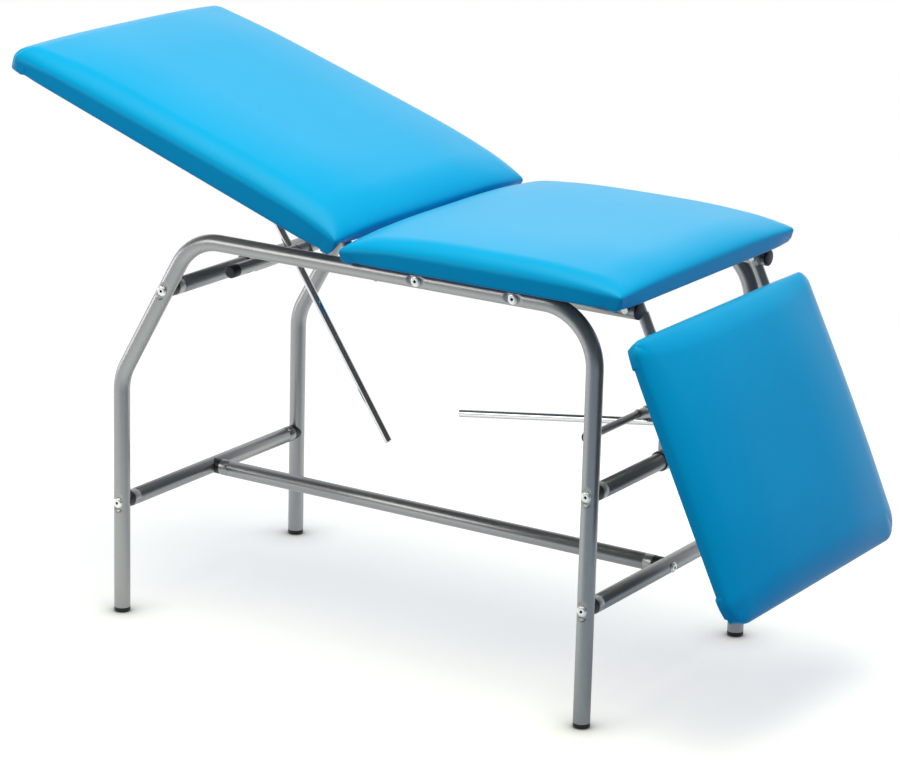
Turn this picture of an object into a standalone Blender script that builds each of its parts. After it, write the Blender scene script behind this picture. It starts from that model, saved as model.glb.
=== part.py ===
"""Three-section examination table: tubular steel frame, padded backrest, seat and leg rest.

Metres, +Z up. +X runs from the head end to the foot end and -Y is the right-hand side of a person
lying on the table. The origin is on the floor, below the middle of the overall length.
"""

import math

import bmesh
import bpy
from mathutils import Matrix, Vector

# Width over the pads, which overhang the side frames
PAD_WIDTH = 0.620
PAD_OVERHANG = 0.030

# Side frames: one bent tube on each side
TUBE_R = 0.015
TUBE_WALL = 0.0015
TUBE_SIDES = 12
FRAME_Y = PAD_WIDTH / 2 - PAD_OVERHANG
HEAD_LEG_X = 0.0
FOOT_LEG_X = 0.9837
RAIL_Z = 0.7306
SLANT_LOW_Z = 0.4513
SLANT_TOP_X = 0.1575
BEND_R = 0.100
FOOT_CAP_H = 0.008
DIMPLE_DEPTH = 0.003
DIMPLE_FLAT = 0.011
DIMPLE_RUN = 0.019

# Cross tubes and their bolts
LOWER_Z = 0.2115
MIDDLE_Z = 0.4136
UPPER_Z = 0.628
SADDLE_LENGTH = 0.008
GROOVE_FROM_END = 0.018
BOLT_R = 0.004
CROSS_SHANK = 0.062
SEAT_SHANK = 0.079
WASHER_R = 0.0095

# Hinges: the backrest's stands above the rails, the leg rest's just past the foot legs
HINGE_Z = 0.7335
BACK_HINGE_X = 0.549
LEG_HINGE_PAST_LEGS = 0.0363
LEG_HINGE_X = FOOT_LEG_X + LEG_HINGE_PAST_LEGS
PIN_R = 0.004

# Seat rails inside the side frames, running a little past both hinges
RAIL_SETBACK = 0.048
SEAT_RAIL_Y = FRAME_Y - RAIL_SETBACK
RAIL_PAST_BACK_HINGE = 0.034
RAIL_PAST_LEG_HINGE = 0.014
SEAT_RAIL_X = (BACK_HINGE_X - RAIL_PAST_BACK_HINGE, LEG_HINGE_X + RAIL_PAST_LEG_HINGE)
SEAT_BOLT_X = (0.636, 0.829)

# Padded sections: the seat's ends past the hinges, the others' near and far ends from their hinge
PAD_CROWN = 0.062
PAD_SHOULDER = 0.054
PAD_WALL = 0.022
PAD_ROLL = 0.050
PAD_CORNER_DROP = 0.008
PAD_CORNER_R = 0.014
BOARD_THICKNESS = 0.012
BOARD_INSET = 0.012
SEAT_PAST_BACK_HINGE = 0.0615
SEAT_PAST_LEG_HINGE = 0.025
SEAT_X = (BACK_HINGE_X - SEAT_PAST_BACK_HINGE, LEG_HINGE_X + SEAT_PAST_LEG_HINGE)
BACK_NEAR = 0.0765
BACK_FAR = 0.830
LEG_NEAR = 0.052
LEG_FAR = 0.547
ARM_R = 0.010
ARM_WALL = 0.0015
ARM_SETBACK = 0.027
ARM_Y = SEAT_RAIL_Y - ARM_SETBACK
ARM_SHORT_OF_PAD = 0.075
EYE_R = 0.009
EYE_HALF = 0.004

# The pose the table stands in
BACK_ANGLE = math.radians(18.0)
LEG_ANGLE = math.radians(64.5)

# Struts: a chromed rod from each moving section through a lock on a cross tube
ROD_R = 0.007
ROD_BORE = 0.0055
BACK_EYE_ALONG = 0.5722
BACK_EYE_DROP = 0.0011
BACK_ROD_LENGTH = 0.700
BACK_ROD_OFF_TUBE = 0.0795
LEG_EYE_ALONG = 0.2598
LEG_EYE_DROP = 0.0140
LEG_ROD_LENGTH = 0.575
LEG_ROD_OFF_TUBE = 0.0596
ROD_PIN_R = 0.003
BAR_FROM_EYE = 0.032
EAR_GAP = 0.0085
EAR_THICKNESS = 0.004

# Locks and release bars
SLEEVE_R = 0.0181
SLEEVE_BORE = 0.0167
SLEEVE_LENGTH = 0.084
BUSH_FLANGE_R = 0.0184
CHEEK_Y = 0.009
CHEEK_THICKNESS = 0.004
BACK_BAR_R = 0.0115
BACK_BAR_HALF = FRAME_Y - 0.0575
BACK_BAR_ALONG = 0.0256
BACK_HUB_ALONG = 0.052
BACK_CHEEK_CRANK = (0.020, 0.055)
BACK_CHEEK_END_R = 0.0085
LEG_BAR_R = 0.007
LEG_BAR_HALF = FRAME_Y - 0.084
LEG_BAR_ALONG = -0.050
LEG_HUB_ALONG = -0.004
HUB_OFF_ROD = 0.0215
LEG_CHEEK_CRANK = (-0.002, 0.040)
LEG_CHEEK_END_R = 0.0115
CHEEK_ROOT_R = 0.0195
LEVER_THICKNESS = 0.003
LEVER_EYE_R = 0.009
LEG_KNOB_R = 0.010
GRIP_LENGTH = 0.020
BAR_CLEAR = 0.0026

GAP = 0.0003

for old in list(bpy.data.objects):
    bpy.data.objects.remove(old, do_unlink=True)

parts = bpy.data.collections.new("examination_table")
cutters = bpy.data.collections.new("cutters")
for group in (parts, cutters):
    bpy.context.scene.collection.children.link(group)
cutters.hide_render = True


def material(name, colour, roughness, metallic=0.0):
    made = bpy.data.materials.new(name)
    made.use_nodes = True
    shader = made.node_tree.nodes["Principled BSDF"]
    shader.inputs["Base Color"].default_value = (*colour, 1.0)
    shader.inputs["Roughness"].default_value = roughness
    shader.inputs["Metallic"].default_value = metallic
    return made


COAT = material("grey_powder_coat", (0.42, 0.43, 0.45), 0.38, 0.6)
CHROME = material("chrome", (0.80, 0.81, 0.83), 0.08, 1.0)
ZINC = material("zinc", (0.62, 0.62, 0.60), 0.3, 1.0)
PLASTIC = material("black_plastic", (0.015, 0.015, 0.017), 0.5)
VINYL = material("blue_vinyl", (0.004, 0.31, 0.74), 0.42)
PLY = material("plywood", (0.11, 0.10, 0.09), 0.6)
STEEL = material("spring_steel", (0.30, 0.30, 0.31), 0.35, 1.0)


def pivot(name, place, turn=0.0):
    """An empty on a joint's axis, turned about Y."""
    made = bpy.data.objects.new(name, None)
    made.empty_display_size = 0.05
    made.location = place
    made.rotation_euler = (0.0, turn, 0.0)
    made.parent = root
    parts.objects.link(made)
    return made


def add(name, mesh, looks, parent, place=(0, 0, 0), turn=(0, 0, 0)):
    made = bpy.data.objects.new(name, mesh)
    made.location = place
    made.rotation_euler = turn
    made.parent = parent
    mesh.materials.clear()
    mesh.materials.append(looks)
    mesh.shade_smooth()
    mesh.set_sharp_from_angle(angle=math.radians(35))
    parts.objects.link(made)
    return made


def from_bmesh(bm, name):
    bmesh.ops.recalc_face_normals(bm, faces=bm.faces)
    mesh = bpy.data.meshes.new(name)
    bm.to_mesh(mesh)
    bm.free()
    return mesh


def to_mesh(maker, name):
    """The evaluated mesh of a curve or a modified object, with its seams welded; the maker is removed."""
    bpy.context.view_layer.update()
    graph = bpy.context.evaluated_depsgraph_get()
    mesh = bpy.data.meshes.new_from_object(maker.evaluated_get(graph))
    bm = bmesh.new()
    bm.from_mesh(mesh)
    bpy.data.objects.remove(maker, do_unlink=True)
    bmesh.ops.remove_doubles(bm, verts=bm.verts, dist=1e-6)
    return from_bmesh(bm, name)


def tube(name, path, radius, sides, caps=True):
    """A round tube or rod swept along a path of points."""
    curve = bpy.data.curves.new(name, "CURVE")
    curve.dimensions = "3D"
    curve.bevel_depth = radius
    curve.bevel_resolution = (sides - 4) // 2
    curve.use_fill_caps = caps
    line = curve.splines.new("POLY")
    line.points.add(len(path) - 1)
    for point, place in zip(line.points, path):
        point.co = (*place, 1.0)
    maker = bpy.data.objects.new(name, curve)
    cutters.objects.link(maker)
    return to_mesh(maker, name)


def turned(name, profile, steps, closed=False):
    """A profile of (radius, height) turned about Z with a Screw modifier."""
    mesh = bpy.data.meshes.new(name)
    edges = [(i, i + 1) for i in range(len(profile) - 1)]
    if closed:
        edges.append((len(profile) - 1, 0))
    mesh.from_pydata([(r, 0.0, z) for r, z in profile], edges, [])
    maker = bpy.data.objects.new(name, mesh)
    cutters.objects.link(maker)
    screw = maker.modifiers.new("turn", "SCREW")
    screw.axis = "Z"
    screw.steps = steps
    screw.render_steps = steps
    screw.use_merge_vertices = True
    screw.merge_threshold = 0.00001
    return to_mesh(maker, name)


def plate(name, outline, y_low, y_high):
    """A flat plate: an outline in X and Z, extruded along Y."""
    curve = bpy.data.curves.new(name, "CURVE")
    curve.dimensions = "2D"
    curve.fill_mode = "BOTH"
    curve.extrude = (y_high - y_low) / 2
    line = curve.splines.new("POLY")
    line.points.add(len(outline) - 1)
    for point, (x, z) in zip(line.points, outline):
        point.co = (x, z, 0.0, 1.0)
    line.use_cyclic_u = True
    maker = bpy.data.objects.new(name, curve)
    cutters.objects.link(maker)
    mesh = to_mesh(maker, name)
    stand = Matrix.Translation((0, (y_low + y_high) / 2, 0)) @ Matrix.Rotation(math.radians(90), 4, "X")
    mesh.transform(stand)
    return mesh


def strap(start, start_r, end, end_r, count=6):
    """The outline of a link between two eyes: two arcs and their common tangents."""
    a, b = Vector(start), Vector(end)
    away = b - a
    facing = math.atan2(away.y, away.x)
    lean = math.acos((start_r - end_r) / away.length)
    outline = []
    for i in range(count):
        angle = facing - lean + 2 * lean * i / (count - 1)
        outline.append((b.x + end_r * math.cos(angle), b.y + end_r * math.sin(angle)))
    for i in range(count):
        angle = facing + lean + 2 * (math.pi - lean) * i / (count - 1)
        outline.append((a.x + start_r * math.cos(angle), a.y + start_r * math.sin(angle)))
    return outline


def rod_mesh(name, start, end, radius, sides):
    """A solid cylinder between two points."""
    start, end = Vector(start), Vector(end)
    bm = bmesh.new()
    bmesh.ops.create_cone(
        bm, cap_ends=True, segments=sides, radius1=radius, radius2=radius, depth=(end - start).length
    )
    lie = (end - start).to_track_quat("Z", "Y").to_matrix().to_4x4()
    bmesh.ops.transform(bm, matrix=Matrix.Translation((start + end) / 2) @ lie, verts=bm.verts)
    return from_bmesh(bm, name)


def clear(radius):
    """The radius of an eight-sided hole that a round shank passes with a gap."""
    return (radius + GAP) / math.cos(math.pi / 8)


def joined(name, meshes):
    """Several closed meshes in one cutter."""
    bm = bmesh.new()
    for mesh in meshes:
        bm.from_mesh(mesh)
    return from_bmesh(bm, name)


def combine(target, mesh, operation):
    """A Boolean on target with a mesh given in target's own frame."""
    cutter = bpy.data.objects.new(f"{target.name}_{operation.lower()}", mesh)
    cutter.parent = target
    cutter.hide_render = True
    cutter.display_type = "WIRE"
    cutters.objects.link(cutter)
    step = target.modifiers.new(operation.lower(), "BOOLEAN")
    step.operation = operation
    step.solver = "EXACT"
    step.object = cutter
    return cutter


def filleted(corners, radius, step):
    """A path through corners with each inner corner turned at a bend radius."""
    path = [Vector(corners[0])]
    for before, corner, after in zip(corners, corners[1:], corners[2:]):
        corner = Vector(corner)
        back = (Vector(before) - corner).normalized()
        ahead = (Vector(after) - corner).normalized()
        turn = math.pi - back.angle(ahead)
        reach = radius * math.tan(turn / 2)
        centre = corner + (back + ahead).normalized() * radius / math.cos(turn / 2)
        first = corner + back * reach - centre
        count = max(2, round(turn / step))
        axis = first.cross(corner + ahead * reach - centre).normalized()
        for i in range(count + 1):
            path.append(centre + Matrix.Rotation(turn * i / count, 3, axis) @ first)
    path.append(Vector(corners[-1]))
    return path


# The part is built from the head legs and shifted to its own middle at the end
root = bpy.data.objects.new("table_frame", None)
parts.objects.link(root)

SIDES = (("right", -1), ("left", 1))
slant = Vector((SLANT_TOP_X - HEAD_LEG_X, 0.0, RAIL_Z - SLANT_LOW_Z)).normalized()
upper_x = HEAD_LEG_X + (UPPER_Z - SLANT_LOW_Z) * slant.x / slant.z
leg_end = FOOT_CAP_H + GAP
up = Vector((0, 0, 1))
along = Vector((1, 0, 0))

# Where a bolt crosses each side frame: its place, the run of the tube there, and the bolt's length
FRAME_BOLTS = (
    ("head_lower", HEAD_LEG_X, LOWER_Z, up, CROSS_SHANK),
    ("head_upper", upper_x, UPPER_Z, slant, CROSS_SHANK),
    ("seat_head", SEAT_BOLT_X[0], RAIL_Z, along, SEAT_SHANK),
    ("seat_foot", SEAT_BOLT_X[1], RAIL_Z, along, SEAT_SHANK),
    ("foot_middle", FOOT_LEG_X, MIDDLE_Z, up, CROSS_SHANK),
    ("foot_lower", FOOT_LEG_X, LOWER_Z, up, CROSS_SHANK),
)


def side_frame(name, side):
    """One bent tube from floor to floor, pressed flat on its outer side where each bolt sits."""
    corners = (
        (HEAD_LEG_X, 0, leg_end),
        (HEAD_LEG_X, 0, SLANT_LOW_Z),
        (SLANT_TOP_X, 0, RAIL_Z),
        (FOOT_LEG_X, 0, RAIL_Z),
        (FOOT_LEG_X, 0, leg_end),
    )
    path = filleted(corners, BEND_R, math.radians(15.0))
    for _, x, z, run, _ in FRAME_BOLTS:
        bolt = Vector((x, 0, z))
        for i in range(len(path) - 1):
            a, b = path[i], path[i + 1]
            nearest = a + (b - a) * max(0.0, min(1.0, (bolt - a).dot(b - a) / (b - a).length_squared))
            if (nearest - bolt).length < 0.002:
                offsets = [-DIMPLE_RUN, -DIMPLE_FLAT, DIMPLE_FLAT, DIMPLE_RUN]
                if (b - a).dot(run) < 0:
                    offsets.reverse()
                path[i + 1 : i + 1] = [bolt + run * s for s in offsets]
                break
    mesh = tube(name, path, TUBE_R, TUBE_SIDES, caps=False)
    for vertex in mesh.vertices:
        for _, x, z, run, _ in FRAME_BOLTS:
            away = vertex.co - Vector((x, 0, z))
            if abs(away.dot(run)) < DIMPLE_FLAT + 0.001 and away.length < 0.025:
                if side * vertex.co.y > TUBE_R - DIMPLE_DEPTH:
                    vertex.co.y = side * (TUBE_R - DIMPLE_DEPTH)
    made = add(name, mesh, COAT, root, (0, side * FRAME_Y, 0))
    wall = made.modifiers.new("wall", "SOLIDIFY")
    wall.thickness = TUBE_WALL
    wall.offset = -1.0
    wall.use_even_offset = True
    holes = [
        rod_mesh(name, (x, -0.03, z), (x, 0.03, z), clear(BOLT_R), 8) for _, x, z, _, _ in FRAME_BOLTS
    ]
    combine(made, joined(f"{name}_holes", holes), "DIFFERENCE")
    return made


def spigot_cap(name, parent, place, turn, height, spigot):
    """A push-in plastic end cap: a disc as wide as the tube with a spigot in the bore."""
    bore = TUBE_R - TUBE_WALL - GAP
    profile = (
        (0.0, spigot), (bore, spigot), (bore, 0.0), (TUBE_R, 0.0),
        (TUBE_R, -height + 0.0012), (TUBE_R - 0.0012, -height), (0.0, -height),
    )
    return add(name, turned(name, profile, 12), PLASTIC, parent, place, turn)


def bolt(name, parent, place, turn, radius, washer, length):
    """A round-headed screw and its washer: head outwards along +Z, seated at the object's origin."""
    head = 1.9 * radius
    top = 0.0018 + 1.1 * radius
    profile = (
        (0.0, top), (0.65 * head, top), (head, 0.0018), (washer, 0.0018), (washer, GAP),
        (radius, GAP), (radius, -length), (0.0, -length),
    )
    return add(name, turned(name, profile, 8), ZINC, parent, place, turn)


for label, side in SIDES:
    side_frame(f"side_frame_{label}", side)
    for end, x in (("head", HEAD_LEG_X), ("foot", FOOT_LEG_X)):
        stand = (x, side * FRAME_Y, FOOT_CAP_H)
        spigot_cap(f"foot_cap_{end}_{label}", root, stand, (0, 0, 0), FOOT_CAP_H, 0.018)
    seat = side * (FRAME_Y + TUBE_R - DIMPLE_DEPTH)
    for place, x, z, _, shank in FRAME_BOLTS:
        turn = (math.radians(-90 * side), 0, 0)
        bolt(f"bolt_{place}_{label}", root, (x, seat, z), turn, BOLT_R, WASHER_R, shank)


def cross_tube(name, half, reach, plug=0.030):
    """A tube along Z with a black saddle plug in each end and the tube rolled into a groove round it."""
    bore = TUBE_R - TUBE_WALL
    hole = clear(BOLT_R)
    end = half - SADDLE_LENGTH
    groove = end - GROOVE_FROM_END
    outer = [
        (hole, reach), (TUBE_R - 0.0008, reach), (TUBE_R - 0.0008, end), (TUBE_R, end),
        (TUBE_R, groove + 0.002), (TUBE_R - 0.0012, groove), (TUBE_R, groove - 0.002),
    ]
    inner = [(bore, end - plug), (hole, end - plug)]
    profile = outer + [(r, -z) for r, z in reversed(outer)]
    profile += [(r, -z) for r, z in reversed(inner)] + inner
    return turned(name, profile, 12, closed=True)


# Cross tubes between the side frames, their saddles hollowed to fit the legs
inner_half = FRAME_Y - TUBE_R
ACROSS = (math.radians(-90), 0, 0)
leg_clear = TUBE_R + GAP
for name, x, z, run in (
    ("cross_tube_head_lower", HEAD_LEG_X, LOWER_Z, up),
    ("cross_tube_head_upper", upper_x, UPPER_Z, slant),
    ("cross_tube_foot_middle", FOOT_LEG_X, MIDDLE_Z, up),
    ("cross_tube_foot_lower", FOOT_LEG_X, LOWER_Z, up),
):
    made = add(name, cross_tube(name, inner_half, FRAME_Y), COAT, root, (x, 0, z), ACROSS)
    own = Matrix.Rotation(math.radians(90), 3, "X")
    cuts = []
    for side in (-1, 1):
        middle = Vector((0, side * FRAME_Y, 0))
        cuts.append(rod_mesh(name, own @ (middle - run * 0.04), own @ (middle + run * 0.04), leg_clear, 20))
    if z == LOWER_Z:
        cuts.append(rod_mesh(name, (-0.03, 0, 0), (0.03, 0, 0), clear(BOLT_R), 8))
    combine(made, joined(f"{name}_cuts", cuts), "DIFFERENCE")

# The stretcher between the two lower cross tubes, bolted through them
middle_x = (HEAD_LEG_X + FOOT_LEG_X) / 2
half_run = (FOOT_LEG_X - HEAD_LEG_X) / 2
LENGTHWISE = (0, math.radians(90), 0)
stretcher = add(
    "stretcher_tube", cross_tube("stretcher_tube", half_run - TUBE_R, half_run), COAT, root,
    (middle_x, 0, LOWER_Z), LENGTHWISE,
)
ends = [rod_mesh("end", (0, -0.04, s * half_run), (0, 0.04, s * half_run), leg_clear, 20) for s in (-1, 1)]
combine(stretcher, joined("stretcher_ends", ends), "DIFFERENCE")
for end, x, turn in (("head", HEAD_LEG_X - TUBE_R, -90), ("foot", FOOT_LEG_X + TUBE_R, 90)):
    turned_out = (0, math.radians(turn), 0)
    bolt(f"bolt_stretcher_{end}", root, (x, 0, LOWER_Z), turned_out, BOLT_R, WASHER_R - 0.0015, CROSS_SHANK)

# Seat rails: tubes beside the side frames on welded spacers, capped at both ends
rail_gap = FRAME_Y - SEAT_RAIL_Y
spacer_low, spacer_high = SEAT_BOLT_X[0] - 2 * TUBE_R, SEAT_BOLT_X[1] + 2 * TUBE_R
for label, side in SIDES:
    name = f"seat_rail_{label}"
    length = SEAT_RAIL_X[1] - SEAT_RAIL_X[0]
    rail = add(
        name, tube(name, [(SEAT_RAIL_X[0], 0, 0), (SEAT_RAIL_X[1], 0, 0)], TUBE_R, 12), COAT, root,
        (0, side * SEAT_RAIL_Y, RAIL_Z),
    )
    spacers = [rod_mesh(name, (x, 0, 0), (x, side * rail_gap, 0), 0.009, 10) for x in SEAT_BOLT_X]
    combine(rail, joined(f"{name}_spacers", spacers), "UNION")
    cuts = [
        rod_mesh(name, (SEAT_RAIL_X[0] - 0.01, 0, 0), (SEAT_RAIL_X[1] + 0.01, 0, 0), TUBE_R - TUBE_WALL, 12),
    ]
    combine(rail, joined(f"{name}_bore", cuts), "DIFFERENCE")
    cuts = [
        rod_mesh(name, (spacer_low, side * rail_gap, 0), (spacer_high, side * rail_gap, 0), leg_clear, 20),
        rod_mesh(name, (BACK_HINGE_X, -0.03, HINGE_Z - RAIL_Z), (BACK_HINGE_X, 0.03, HINGE_Z - RAIL_Z),
                 clear(PIN_R), 8),
        rod_mesh(name, (LEG_HINGE_X, -0.03, HINGE_Z - RAIL_Z), (LEG_HINGE_X, 0.03, HINGE_Z - RAIL_Z),
                 clear(PIN_R), 8),
    ]
    combine(rail, joined(f"{name}_cuts", cuts), "DIFFERENCE")
    holes = [rod_mesh(name, (x, -0.03, 0), (x, 0.045, 0), clear(BOLT_R), 8) for x in SEAT_BOLT_X]
    if side < 0:
        holes = [rod_mesh(name, (x, -0.045, 0), (x, 0.03, 0), clear(BOLT_R), 8) for x in SEAT_BOLT_X]
    combine(rail, joined(f"{name}_bolt_holes", holes), "DIFFERENCE")
    rail_y = side * SEAT_RAIL_Y
    for end, x, turn in (
        ("head", SEAT_RAIL_X[0] - GAP, math.radians(90)), ("foot", SEAT_RAIL_X[1] + GAP, math.radians(-90)),
    ):
        spigot_cap(f"seat_rail_cap_{end}_{label}", root, (x, rail_y, RAIL_Z), (0, turn, 0), 0.004, 0.007)


def rounded(x_low, x_high, half_width, radius, inset):
    """A rounded rectangle as (x, y, cornerness); every inset gives the same count of points."""
    half = (x_high - x_low) / 2 - inset
    wide = half_width - inset
    middle = (x_low + x_high) / 2
    r = max(radius - 0.6 * inset, 0.012)
    outline = []
    for quarter, (sx, sy) in enumerate(((1, 1), (-1, 1), (-1, -1), (1, -1))):
        for i in range(5):
            angle = math.radians(90 * quarter + 22.5 * i)
            outline.append((
                middle + sx * (half - r) + r * math.cos(angle),
                sy * (wide - r) + r * math.sin(angle), 1.0,
            ))
        run = (half - r) if quarter % 2 == 0 else (wide - r)
        here = outline[-1]
        for share in (0.10, 0.28, 0.5, 0.72, 0.90):
            near = 1.0 - min(share, 1.0 - share) / 0.5
            if quarter == 0:
                spot = (here[0] - 2 * run * share, here[1])
            elif quarter == 1:
                spot = (here[0], here[1] - 2 * run * share)
            elif quarter == 2:
                spot = (here[0] + 2 * run * share, here[1])
            else:
                spot = (here[0], here[1] + 2 * run * share)
            outline.append((*spot, near ** 3))
    return outline


def loft(name, loops):
    """Faces between equal loops of points, closed at both ends."""
    bm = bmesh.new()
    rings = [[bm.verts.new(point) for point in loop] for loop in loops]
    count = len(rings[0])
    for low, high in zip(rings, rings[1:]):
        for i in range(count):
            j = (i + 1) % count
            bm.faces.new((low[i], low[j], high[j], high[i]))
    bm.faces.new(rings[0][::-1])
    bm.faces.new(rings[-1])
    return from_bmesh(bm, name)


def padded_section(label, low, high, parent):
    """A plywood board and the upholstered foam round it, crowned on top and pulled down at the corners."""
    half = PAD_WIDTH / 2
    board_low = RAIL_Z + TUBE_R + GAP - HINGE_Z
    board_top = board_low + BOARD_THICKNESS
    outline = rounded(low, high, half, PAD_CORNER_R, BOARD_INSET)
    board = loft(f"{label}_board", [[(x, y, z) for x, y, _ in outline] for z in (board_low, board_top)])
    add(f"{label}_board", board, PLY, parent)

    def ring(inset, level):
        return [(x, y, level(c)) for x, y, c in rounded(low, high, half, PAD_CORNER_R, inset)]

    base = board_low + 0.0008
    fit = BOARD_INSET - 2 * GAP

    def rolled(inset):
        share = math.sqrt(1.0 - (1.0 - min(inset / PAD_ROLL, 1.0)) ** 2)
        edge = PAD_WALL + (PAD_SHOULDER - PAD_WALL) * share
        corner = PAD_WALL - PAD_CORNER_DROP
        corner += (PAD_SHOULDER - PAD_CORNER_DROP / 2 - corner) * share * share
        return lambda c: base + edge + (corner - edge) * c

    def crowned(share, pulled):
        top = PAD_SHOULDER + (PAD_CROWN - PAD_SHOULDER) * share
        return lambda c: base + top - PAD_CORNER_DROP * pulled * c

    loops = [
        ring(fit, lambda c: board_top + GAP),
        ring(fit, lambda c: base),
        ring(0.006, lambda c: base),
        ring(0.0015, lambda c: base + 0.004),
        ring(0.0, rolled(0.0)),
        ring(0.003, rolled(0.003)),
        ring(0.010, rolled(0.010)),
        ring(0.022, rolled(0.022)),
        ring(0.050, rolled(0.050)),
        ring(0.095, crowned(0.62, 0.2)),
        ring(0.165, crowned(1.0, 0.0)),
    ]
    add(f"{label}_pad", loft(f"{label}_pad", loops), VINYL, parent)


def carrier(label, paths, bar_x, eye, parent):
    """The welded steel frame under a moving section: two arms with hinge eyes, a cross bar and two ears."""
    made = add(f"{label}_frame", tube(f"{label}_frame", paths[0], ARM_R, 10), COAT, parent)
    z = paths[0][-1][2]
    bar = rod_mesh(label, (bar_x, -ARM_Y, z), (bar_x, ARM_Y, z), ARM_R - 0.0007, 9)
    combine(made, bar, "UNION")
    combine(made, tube(label, paths[1], ARM_R, 10), "UNION")
    for path in paths:
        start = path[0] + (path[1] - path[0]).normalized() * 0.012
        neck = strap((0, 0), EYE_R, (start.x, start.z), 0.0077)
        combine(made, plate(label, neck, start.y - EYE_HALF, start.y + EYE_HALF), "UNION")
    for side in (-1, 1):
        y = sorted((side * EAR_GAP, side * (EAR_GAP + EAR_THICKNESS)))
        ear = plate(label, strap((bar_x, z), 0.0085, eye, 0.0085), *y)
        combine(made, ear, "UNION")
    bores = [tube(label, bore_path(path), ARM_R - ARM_WALL, 10) for path in paths]
    combine(made, joined(f"{label}_bores", bores), "DIFFERENCE")
    holes = [
        rod_mesh(label, (0, -ARM_Y - 0.02, 0), (0, -ARM_Y + 0.02, 0), clear(PIN_R), 8),
        rod_mesh(label, (0, ARM_Y - 0.02, 0), (0, ARM_Y + 0.02, 0), clear(PIN_R), 8),
        rod_mesh(label, (eye[0], -0.02, eye[1]), (eye[0], 0.02, eye[1]), clear(ROD_PIN_R), 8),
    ]
    combine(made, joined(f"{label}_holes", holes), "DIFFERENCE")
    return made


def bore_path(path):
    """An arm's bore: shut where the arm is pressed onto its eye, and open at the far end."""
    first = path[0] + (path[1] - path[0]).normalized() * 0.0225
    last = path[-1] + (path[-1] - path[-2]).normalized() * 0.01
    return [first, *path[1:-1], last]


def hinge_pin(name, x, side):
    """A shouldered pin through an arm and a seat rail, with its nut between rail and side frame."""
    low = ARM_Y - EYE_HALF - 0.0045
    top = SEAT_RAIL_Y + TUBE_R + GAP - low
    inner = SEAT_RAIL_Y - TUBE_R - GAP - low
    past_eye = 2 * EYE_HALF + 0.005
    profile = (
        (0.0, top + 0.006), (0.0065, top + 0.006), (0.0065, top), (PIN_R, top), (PIN_R, inner),
        (0.0068, inner), (0.0068, past_eye), (PIN_R, past_eye),
        (PIN_R, 0.004), (0.007, 0.004), (0.0055, 0.0), (0.0, 0.0),
    )
    turn = (math.radians(-90 * side), 0, 0)
    return add(name, turned(name, profile, 8), ZINC, root, (x, side * low, HINGE_Z), turn)


# Seat, fixed on the rails
seat_place = pivot("seat_place", (0.0, 0.0, HINGE_Z))
padded_section("seat", *SEAT_X, seat_place)

# Backrest: its arms dip under the seat's edge to reach the hinge
back_axis = pivot("backrest_hinge", (BACK_HINGE_X, 0.0, HINGE_Z), BACK_ANGLE)
padded_section("back", -BACK_FAR, -BACK_NEAR, back_axis)
arm_z = RAIL_Z + TUBE_R - ARM_R - HINGE_Z
back_arms = []
for label, side in SIDES:
    corners = [
        (-0.034, side * ARM_Y, -0.046), (-0.088, side * ARM_Y, -0.046), (-0.136, side * ARM_Y, arm_z),
        (ARM_SHORT_OF_PAD - BACK_FAR, side * ARM_Y, arm_z),
    ]
    back_arms.append(filleted(corners, 0.024, math.radians(22)))
back_eye = (-BACK_EYE_ALONG, -BACK_EYE_DROP)
carrier("back", back_arms, back_eye[0] - BAR_FROM_EYE, back_eye, back_axis)

# Leg rest: straight arms, hanging from the foot end of the seat rails
leg_axis = pivot("leg_rest_hinge", (LEG_HINGE_X, 0.0, HINGE_Z), LEG_ANGLE)
padded_section("leg", LEG_NEAR, LEG_FAR, leg_axis)
leg_arms = []
for label, side in SIDES:
    leg_arms.append([
        Vector((0.016, side * ARM_Y, arm_z)), Vector((LEG_FAR - ARM_SHORT_OF_PAD, side * ARM_Y, arm_z)),
    ])
leg_eye = (LEG_EYE_ALONG, -LEG_EYE_DROP)
carrier("leg", leg_arms, leg_eye[0] + BAR_FROM_EYE, leg_eye, leg_axis)

for label, side in SIDES:
    hinge_pin(f"back_hinge_pin_{label}", BACK_HINGE_X, side)
    hinge_pin(f"leg_hinge_pin_{label}", LEG_HINGE_X, side)


def placed(eye, hinge_x, angle):
    """An eye of a moving section as a point in X and Z of the whole table."""
    spot = Matrix.Rotation(angle, 3, "Y") @ Vector((eye[0], 0.0, eye[1]))
    return (hinge_x + spot.x, HINGE_Z + spot.z)


def strut_angle(eye, tube_at, off_tube, heading):
    """The turn about Y at which a strut from an eye passes a cross tube at a set distance above it."""
    x, z = heading * (tube_at[0] - eye[0]), heading * (tube_at[1] - eye[1])
    return math.atan2(-z, x) - heading * math.asin(off_tube / math.hypot(x, z))


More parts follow.
